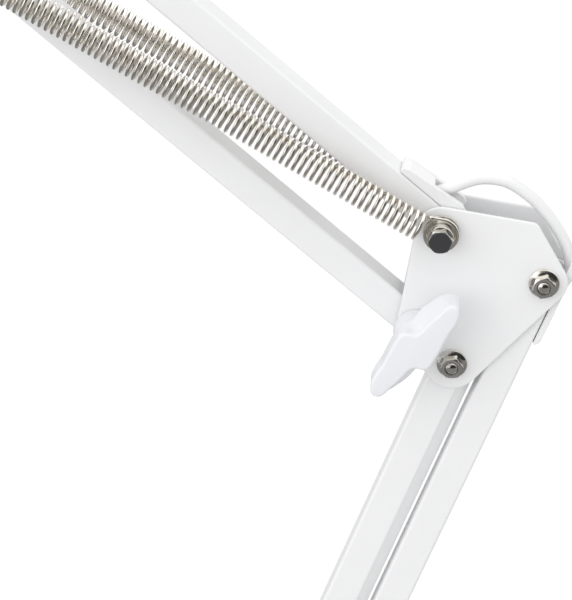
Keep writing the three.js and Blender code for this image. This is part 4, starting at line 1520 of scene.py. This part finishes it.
@dataclass
class Arms:
    """The four square tubes, their guides and their spring pins."""

    edge: float = 0.22 * MM

    def lid(
        self, guide: str, end: Array, along: Array, rims: tuple[float, float], until: float, body: str
    ) -> None:
        """The closed part of a guide, from its rims' far end to where the lead comes out.

        Args:
            guide: The guide's name.
            end: The arm's end at the guide's mouth.
            along: From that end along the arm.
            rims: The rims' height over the tube's middle at their far end and at the mouth, in
                millimetres.
            until: The distance from the arm's end to the lead's way out, in millimetres.
            body: The body that it rides on.
        """
        out = outwards(along) if along @ (LOW_ARM + UP_ARM) > 0 else -outwards(along)
        s = np.linspace(until, 25.6, 24)
        top = rims[0] + (rims[1] - rims[0]) * (24.2 - s) / 24 + 0.12
        far_drop, near_drop = np.clip((s - 24.2) / 1.4, 0, 1), np.clip((until + 0.8 - s) / 0.8, 0, 1)
        top -= 0.9 * far_drop**2 + 0.5 * near_drop**2
        foot = top - 1.6
        foot[0] = top[0] - 0.3
        # across the lid: half width, and the share of the way from foot to top
        section = np.array([(6.1, 0.0), (6.1, 0.75), (5.95, 0.92), (5.6, 1.0)])
        section = np.vstack([section, section[::-1] * [-1, 1]])
        height = foot[:, None] + (top - foot)[:, None] * section[None, :, 1]
        y = np.broadcast_to(section[:, 0], height.shape)
        points = (
            end + (s[:, None, None] * along + height[..., None] * out + y[..., None] * Y_AXIS) * MM
        )
        add_piece(f"{guide}_lid", capped(points), NEUTRAL_WHITE, body)

    def rib_ends(self) -> None:
        """The last stretches of the sloped rib along the lower inner tube."""
        out = outwards(LOW_ARM)
        section = soften([(-5.3, 5.6), (-5.3, 6.3), (-1.1, 10.7), (4.3, 10.7), (4.3, 5.6)], 0.3, 3) * MM
        for name, start, end in (("lower", 9.0, 18.2), ("upper", ARM / MM - 18.2, ARM / MM - 8.0)):
            rows = np.array([
                BASE_INNER + place * MM * LOW_ARM + section[:, 1:] * out + section[:, :1] * Y_AXIS
                for place in (start, end)
            ])
            add_piece(f"rib_end_{name}", capped(rows), POWDER_COAT, "lower_inner_bar")

    def build(self) -> None:
        """Every piece of both arms."""
        for node in ("lower_outer_tube", "lower_inner_tube", "upper_top_tube", "upper_bottom_tube"):
            soft_copy(node, POWDER_COAT, self.edge)
        for node in ("guide_base", "guide_elbow_lower", "guide_elbow_upper", "guide_head"):
            soft_copy(node, NEUTRAL_WHITE, 0.45 * MM)
        tall, low = (9.4, 11.9), (8.8, 9.2)
        self.lid("guide_base", BASE_OUTER, LOW_ARM, tall, 12.6, "lower_outer_bar")
        self.lid("guide_elbow_lower", B, -LOW_ARM, low, 10.0, "lower_outer_bar")
        self.lid("guide_elbow_upper", A, UP_ARM, tall, 12.6, "upper_top_bar")
        self.lid("guide_head", HEAD_A, -UP_ARM, tall, 12.6, "upper_top_bar")
        self.rib_ends()
        pins = (("upper", UPPER_PIN, "upper_bottom_bar"), ("lower", LOWER_PIN, "lower_inner_bar"))
        for name, at, body in pins:
            node = f"spring_pin_{name}"
            add_piece(f"{node}_turned", SpringPin().surface(at), BRIGHT_ZINC, body, [node])


@dataclass(frozen=True)
class SpringPlace:
    """Where a pair of springs hangs, and the bodies that it joins.

    Attributes:
        name: The nodes' name, without its side.
        start: The anchor on the bracket.
        end: The anchor on the moving bar.
        pivot: Where the bar turns on the bracket.
        eyes: The radius of each eye.
        leads: The distance from each anchor to the coiled body.
        plane: The distance of the first eye from the lamp's centre plane.
        bodies: The bracket and the bar. Not used.
        least_lead: The least that the weight's formula takes for the anchor's lead.
    """

    name: str
    start: Array
    end: Array
    pivot: Array
    eyes: tuple[float, float]
    leads: tuple[float, float]
    plane: float
    bodies: tuple[str, str]
    least_lead: float = 4 * MM

    def weight(self, share: float) -> float:
        """How far a point of the spring follows the bar, for the spring to stay straight.

        With a the distance by which the anchor leads the pivot along the spring, and l the
        spring's length, a point at share s keeps to the line between the anchors when its
        weight is s (a + l) / (a + s l).

        Args:
            share: The point's place, from 0 at the bracket to 1 at the bar.

        Returns:
            The weight, from 0 for the bracket to 1 for the bar.
        """
        span = self.end - self.start
        length = float(np.linalg.norm(span))
        lead = max(float((self.start - self.pivot) @ span) / length, self.least_lead)
        return share * (lead + length) / (lead + share * length)

    def blend_between(self, first: float, last: float, low: float, high: float) -> tuple[Array, Array]:
        """The ends of a smooth step that takes given weights at two places.

        The step is t t (3 - 2 t), and its inverse is t = 1/2 - sin(asin(1 - 2 w) / 3).

        Args:
            first: The share of the length at the nearer place.
            last: The share at the farther place.
            low: The weight at the nearer place.
            high: The weight at the farther place.

        Returns:
            Where the step starts and where it ends.
        """
        before, after = (0.5 - math.sin(math.asin(1 - 2 * w) / 3) for w in (low, high))
        share_per_step = (last - first) / (after - before)
        span = self.end - self.start
        return (
            self.start + (first - before * share_per_step) * span,
            self.start + (last + (1 - after) * share_per_step) * span,
        )


@dataclass
class Springs:
    """The four balance springs.

    A blend over a whole spring would bow it as its bar swings. Each spring is therefore
    several lengths of wire. The ends of a blend for each length are worked out, but no blend is
    set up and every length is left on no body.
    """

    y: float = 15.6 * MM
    bar_eye: float = 14 * MM
    shares: tuple[float, ...] = (0.035, 0.07, 0.13, 0.24, 0.42, 0.68, 0.965)
    coil: BalanceSpring = field(default_factory=BalanceSpring)

    def places(self) -> list[SpringPlace]:
        """The upper and the lower pair.

        Returns:
            Where each hangs.
        """
        return [
            SpringPlace("spring_upper", A, UPPER_PIN, D, (6.2 * MM, 3.5 * MM),
                (7.6 * MM, 11 * MM), 12.9 * MM, ("elbow", "upper_bottom_bar")),
            SpringPlace("spring_lower", BASE_PIN, LOWER_PIN, BASE_INNER,
                (3.5 * MM, 3.5 * MM), (11 * MM, 11 * MM), 14 * MM,
                ("swivel_bracket", "lower_inner_bar")),
        ]

    def build(self) -> None:
        """A front and a rear spring on each arm, between their anchors, in lengths left on no body."""
        for place in self.places():
            span = place.end - place.start
            cuts = [place.start + share * span for share in self.shares[1:-1]]
            weights = [0.0, *(place.weight(share) for share in self.shares[1:-1]), 1.0]
            for side, sign in (("front", -1), ("rear", 1)):
                name = f"{place.name}_{side}"
                path = self.coil.path(
                    place.start, place.end, sign * self.y, place.eyes, place.leads,
                    (sign * place.plane, sign * self.bar_eye),
                )
                for i, wire in enumerate(self.coil.lengths(path, cuts, unit(span))):
                    obj = add_piece(f"{name}_{i + 1}", wire, DRAWN_WIRE, None, [name], 60)
                    start, end = place.blend_between(
                        self.shares[i], self.shares[i + 1], weights[i], weights[i + 1]
                    )
                    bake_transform(obj)


@dataclass
class Elbow:
    """The elbow's plates, bolts, nuts, spools and knob."""

    spool_end: float = 15.2 * MM

    def spool(self, sign: int, end: float) -> Surface:
        """A washer and a plain sleeve, with a flange outside where nothing else holds the eye.

        Args:
            sign: -1 in front of the lamp's centre plane and 1 behind it.
            end: How far from that plane the sleeve ends.

        Returns:
            The surface.
        """
        profile = [
            (2.6, 9.1), (6.6, 9.1), (6.8, 9.3), (6.8, 10.3), (6.6, 10.5), (4.6, 10.6),
            (4.6, end / MM - 2.6), (6.6, end / MM - 1.2), (6.8, end / MM), (2.6, end / MM), (2.6, 9.1),
        ]
        if sign < 0:
            profile[6:9] = [(4.6, end / MM)]
        profile = soften(profile, 0.3, 3) * MM
        return revolve(profile, A, -sign * FRONT, 64)

    def build(self) -> None:
        """Every piece of the elbow."""
        off_b, off_c, off_d = ((point - A) / MM for point in (B, C, D))
        circles = [(off_d[0], off_d[2], 8.4), (off_c[0], off_c[2], 10.8), (off_b[0], off_b[2], 9.0),
            (33.5, 1.2, 3.5), (0, 0, 9.5)]
        SidePlates("elbow", "elbow", circles, A).build()
        nut, bolt = FlangeNut(), PivotBolt()
        for letter, centre, turn in (("b", B, 0.25), ("c", C, 0.1)):
            flanged = nut.surface(centre, NUT_SEAT, FRONT, turn)
            add_piece(f"elbow_nut_{letter}_flanged", flanged, BRIGHT_ZINC, "elbow",
                [f"elbow_nut_{letter}"], 30)
            add_piece(f"elbow_bolt_{letter}_turned", bolt.surface(centre, BOLT_END, PLATE_OUT),
                BRIGHT_ZINC, "elbow", [f"elbow_bolt_{letter}"], 30)
        self.big_bolt()
        for side, sign, end in (("front", -1, self.spool_end), ("rear", 1, 17.8 * MM)):
            add_piece(f"spring_spool_{side}_turned", self.spool(sign, end), BRIGHT_ZINC, "elbow",
                [f"spring_spool_{side}"], 30)
        WingKnob("elbow_knob", "elbow_wing_knob", "elbow_knob", D, math.radians(56.6)).build()
        rear = FlangeNut(height=4.2 * MM)
        add_piece("elbow_knob_nut", rear.surface(D, PLATE_OUT, Y_AXIS), BRIGHT_ZINC, "elbow", (), 30)

    def big_bolt(self) -> None:
        """The bolt, nut and dark end of the springs' pivot."""
        near = self.spool_end + 0.1 * MM
        nut = FlangeNut(flange=4.9 * MM, corner=4.85 * MM, height=5.0 * MM)
        add_piece("elbow_nut_a_flanged", nut.surface(A, near, FRONT, 0.12), BRIGHT_ZINC, "elbow",
            ["elbow_nut_a"], 30)
        add_piece("elbow_bolt_a_turned", PivotBolt().surface(A, near + 4.6 * MM, 17.9 * MM),
            BRIGHT_ZINC, "elbow", ["elbow_bolt_a"], 30)
        face = near + nut.height
        angle = np.arange(72) * TAU / 72
        rings = soften([(4.4, -0.6), (4.4, 0.1), (4.1, 0.42), (2.5, 0.5), (0.5, 0.52)], 0.4, 3) * MM
        radius = np.minimum(rings[:, :1], hexagon(angle - 0.12, 4.75 * MM)[None])
        first, second = across(FRONT)
        spokes = np.cos(angle)[:, None] * first + np.sin(angle)[:, None] * second
        cap = A + (face + rings[:, 1])[:, None, None] * FRONT + radius[..., None] * spokes
        add_piece("elbow_nut_a_cap", capped(cap), DARK_STEEL, "elbow", (), 35)


@dataclass
class HeadBracket:
    """The plates between the upper arm and the shade."""

    def build(self) -> None:
        """Plates, bolts, nuts and the tilt knob."""
        off_d = (D - A) / MM
        circles = [(off_d[0], off_d[2], 8.4), (0, 0, 9.5), (-36, -28, 11)]
        SidePlates("head", "head_bracket", circles, HEAD_A).build()
        plain_bolts("head", "head_bracket", {"a": HEAD_A, "d": HEAD_D})
        WingKnob("head_knob", "head_wing_knob", "head_knob", HEAD_TILT, math.radians(20), 0.75).build()
        rear = FlangeNut(height=4.2 * MM)
        add_piece("head_knob_nut", rear.surface(HEAD_TILT, PLATE_OUT, Y_AXIS), BRIGHT_ZINC,
            "head_bracket", (), 30)


@dataclass
class ShadeHead:
    """The shade, its housing and what they hold, all turned round the shade's axis."""

    top: float = -36.0 * MM
    wall: float = 1.0 * MM

    @staticmethod
    def spun(
        name: str, profile: Array, finish: Finish, nodes: Sequence[str], sharp: float = 38.0
    ) -> None:
        """A piece turned round the shade's axis."""
        turned(name, profile, (SHADE_ORIGIN, SHADE_UP), finish, "shade_head", nodes, 128, sharp)

    def shade(self) -> None:
        """The bell: a smooth outer curve, an inner one a wall behind it, and a rolled rim."""
        outer = np.array([(27.0, -1.2), (34, -7.2), (44, -16), (53, -30), (60, -46), (66.5, -61),
            (72, -76), (76.2, -90), (78.6, -101)]) * MM
        curve = spline(outer, 2.0 * MM)[0]
        tangent = unit(np.gradient(curve, axis=0))
        inner = (curve + self.wall * np.column_stack([tangent[:, 1], -tangent[:, 0]]))[::-1]
        rim_angle = np.linspace(-0.25, 1.2, 12) * math.pi
        rim = np.array([78.5, -103.9]) * MM + 1.45 * MM * np.column_stack(
            [np.cos(-rim_angle), np.sin(-rim_angle)])
        neck = soften([(18.3, -1.1), (18.3, 0), (25, 0), (27.0, -1.2)], 0.8)[:-1] * MM
        profile = np.vstack([neck, curve, rim, inner, [[18.3 * MM, -1.1 * MM]]])
        profile[:, 1] += self.top
        self.spun("shade_spun", profile, POWDER_COAT, ["shade"])

    def housing(self) -> None:
        """The cap over the lamp holder, with a groove near its mouth and a raised band."""
        outer = soften([
            (0, 26), (10, 25.4), (18, 23.5), (23, 19), (24, 14), (24, -24), (23.4, -24.6), (23.4, -25.8),
            (24, -26.4), (24, -35.4), (23.6, -35.7), (22, -35.7), (22, 14), (19, 18.5), (12, 21.2),
            (0, 21.8),
        ], 2.2, 6) * MM
        self.spun("lamp_housing_moulded", outer, MOULDED_WHITE, ["lamp_housing"])

    def holder(self) -> None:
        """The ribbed lamp holder."""
        heights = np.linspace(-58.5, 6, 160)
        ribs = 17 - 0.45 * (np.sin(heights * TAU / 4.3) > 0.55)
        wall = np.column_stack([ribs, heights])[::-1]
        profile = np.vstack([
            [(0, 12), (14.6, 12), (16.4, 11.2), (17, 9.6)], wall,
            [(17, -59.4), (16.4, -60), (14.2, -60), (13.7, -59.4), (13.7, -30), (0, -30)],
        ]) * MM
        self.spun("lamp_socket_ribbed", profile, MOULDED_WHITE, ["lamp_socket"], 25)

    def bulb(self) -> None:
        """The frosted envelope and the threaded cap under it."""
        glass = spline(np.array([(12.4, -57.6), (13.2, -63), (15.6, -71), (20, -80), (26.4, -90.5),
            (29.8, -102), (27.6, -114.4), (20.5, -124), (11, -129), (0, -130)]), 1.5)[0]
        closed = np.vstack([[(0, -57.6)], glass])
        self.spun("bulb_glass", closed * MM, FROSTED, ["bulb"], 60)
        t = np.linspace(-57.0, -37.0, 120)
        thread = np.column_stack([12.75 + 0.35 * np.cos((t + 37) * TAU / 3.6), t])[::-1]
        cap = np.vstack([
            [(0, -31), (4.4, -31), (5, -31.6), (5, -32.6), (8, -34), (11.8, -36)], thread,
            [(12.6, -57.9), (12.2, -58.3), (0, -58.3)],
        ]) * MM
        self.spun("bulb_cap", cap, BRIGHT_ZINC, (), 60)

    def relief(self) -> None:
        """The tapered sleeve that the lead leaves the housing by, ringed so that it bends."""
        heights = np.linspace(30.4, 54.2, 140)
        taper = np.interp(heights, [30.4, 54.2], [5.0, 3.5])
        rings = taper - 0.4 * (np.sin(heights * TAU / 3.2) > 0.35)
        profile = np.vstack([
            [(2.6, 20), (4, 20), (4, 25.6), (6.2, 25.6), (6.5, 25.9), (6.5, 29.4), (6.0, 30)],
            np.column_stack([rings, heights]), [(3.4, 54.8), (3.0, 55), (2.6, 54.8), (2.6, 20)],
        ]) * MM
        self.spun("cord_relief_ringed", profile, MOULDED_WHITE, ["cord_relief"], 25)

    def button(self) -> None:
        """The push switch and the collar round it."""
        at = SHADE_ORIGIN - 6 * MM * SHADE_UP
        button = soften([(0, 19), (4.9, 19), (4.9, 27.2), (4.2, 28.3), (2.2, 28.0), (0, 27.9)], 0.7) * MM
        collar = soften([(5.3, 21), (7.4, 21), (7.4, 24.6), (6.6, 25.3), (5.6, 25.3), (5.3, 25),
            (5.3, 21)], 0.5) * MM
        place = (at, SHADE_OUT)
        turned("switch_button_cap", button, place, RUBBER, "switch", ["switch_button"], 48)
        turned("switch_collar", collar, place, MOULDED_WHITE, "shade_head", (), 48)

    def build(self) -> None:
        """Every piece of the shade's body."""
        self.shade()
        self.housing()
        self.holder()
        self.bulb()
        self.relief()
        self.button()
        soft_copy("shade_lug", POWDER_COAT, 0.7 * MM)


@dataclass
class Base:
    """The bracket that swivels on the clamp."""

    def build(self) -> None:
        """Plates, post, block, pins and the lead's clip."""
        anchor, outer = BASE_PIN / MM, BASE_OUTER / MM
        circles = [(-9, 42, 5), (15, 42, 5), (outer[0], outer[2], 10), (anchor[0], anchor[2], 6.5)]
        SidePlates("base", "swivel_bracket", circles, np.zeros(3)).build()
        plain_bolts("base", "swivel_bracket", {"outer": BASE_OUTER, "inner": BASE_INNER})
        pin = SpringPin(cap=4.2 * MM, seat=PLATE_OUT)
        add_piece("base_spring_pin_turned", pin.surface(BASE_PIN), BRIGHT_ZINC, "swivel_bracket",
            ["base_spring_pin"])
        post = soften([(0, 12), (4.8, 12), (6, 13.2), (6, 33.6), (5.6, 34), (5.6, 35), (6, 35.4),
            (6, 36.7), (0, 36.7)], 0.3) * MM
        turned("swivel_post_turned", post, (np.zeros(3), Z_AXIS), BRIGHT_ZINC, "swivel_bracket",
            ["swivel_post"])
        soft_copy("post_block", DARK_STEEL, 0.5 * MM)
        soft_copy("cord_clip", MOULDED_WHITE, 0.4 * MM)


@dataclass
class Clamp:
    """The desk clamp and its screw."""

    pitch: float = 1.75 * MM
    core: float = 3.75 * MM
    depth: float = 0.85 * MM

    def screw(self) -> Surface:
        """The spindle: radius = core + depth * |wave|, the wave running round as it climbs.

        Returns:
            The surface.
        """
        heights = np.linspace(-93.0, -38.0, 560) * MM
        angle = np.arange(40) * TAU / 40
        phase = heights[:, None] / self.pitch - angle[None] / TAU
        ridge = np.clip(1.6 * np.abs(((phase % 1) * 2) - 1) - 0.3, 0, 1)
        fade = np.clip((-38.4 * MM - heights) / (1.5 * MM), 0, 1)[:, None]
        radius = self.core + self.depth * ridge * fade
        points = np.stack([
            radius * np.cos(angle),
            radius * np.sin(angle),
            np.broadcast_to(heights[:, None], radius.shape),
        ], -1)
        return capped(points + SCREW_AXIS)

    def handle(self) -> Surface:
        """The grip: radius = (18.2 + 1.8 cos 5a) mm, drawn in at its upper and lower edges.

        Returns:
            The surface.
        """
        levels = soften([(0.0, -106.6), (0.62, -106.9), (0.72, -108), (0.97, -108), (1.0, -105.5),
            (1.0, -98.2), (0.96, -95.9), (0.8, -95.5), (0.56, -95.4), (0.5, -94.2), (0.46, -94.0),
            (0.26, -94.0)], 0.8, 4)
        angle = np.arange(120) * TAU / 120
        round_part = np.clip((levels[:, :1] - 0.56) / 0.2, 0, 1)
        reach = levels[:, :1] * (18.2 + 1.8 * np.cos(5 * angle)[None] * round_part) * MM
        height = np.broadcast_to(levels[:, 1:] * MM, reach.shape)
        points = np.stack([reach * np.cos(angle), reach * np.sin(angle), height], -1)
        return capped(points + SCREW_AXIS)

    def build(self) -> None:
        """Every piece of the clamp."""
        soft_copy("clamp_frame", POWDER_COAT, 0.9 * MM)
        soft_copy("clamp_jaw_pad", RUBBER, 0.5 * MM)
        seat = 10.6
        bush = soften([
            (6.3, seat), (17, seat), (17, seat + 3), (15.5, seat + 4.5), (11.5, seat + 6), (11, seat + 8),
            (11, seat + 15), (10.6, seat + 15.4), (10.6, seat + 16.6), (11, seat + 17), (11, seat + 24),
            (10, seat + 25), (6.3, seat + 25), (6.3, seat),
        ], 0.5) * MM
        turned("socket_bush_turned", bush, (np.zeros(3), Z_AXIS), BRIGHT_ZINC, "clamp",
            ["socket_bush"], 96)
        disc = soften([(0, -25), (14, -25), (15, -26), (15, -28), (9, -29.5), (7, -30.7), (0, -30.7)],
            0.6) * MM
        turned("clamp_swivel_pad_turned", disc, (SCREW_AXIS, Z_AXIS), BRIGHT_ZINC, "clamp_carriage",
            ["clamp_swivel_pad"], 80)
        neck = soften([(0, -31), (3.4, -31), (3.75, -32), (3.75, -39)], 0.5)
        tail = np.array([(3.75, -92.5), (3.75, -103), (0, -103)])
        spindle = self.screw() + revolve(np.vstack([neck, [(0, -39)]]) * MM, SCREW_AXIS, Z_AXIS, 40)
        spindle += revolve(np.vstack([[(0, -92.5)], tail]) * MM, SCREW_AXIS, Z_AXIS, 40)
        add_piece("clamp_screw_threaded", spindle, DARK_STEEL, "clamp_spindle", ["clamp_screw"])
        add_piece("clamp_handle_moulded", self.handle(), MOULDED_WHITE, "clamp_spindle",
            ["clamp_handle"])


# ---- Making ----------------------------------------------------------------------------------


def main() -> None:
    """Builds the camera, the leads and then the rest of the lamp."""
    parts = (Studio(), MainsLead(), ArmLead(), Elbow(), Springs(), Arms(), HeadBracket(), ShadeHead(),
        Base(), Clamp())
    for part in parts:
        part.build()


if __name__ == "__main__":
    main()
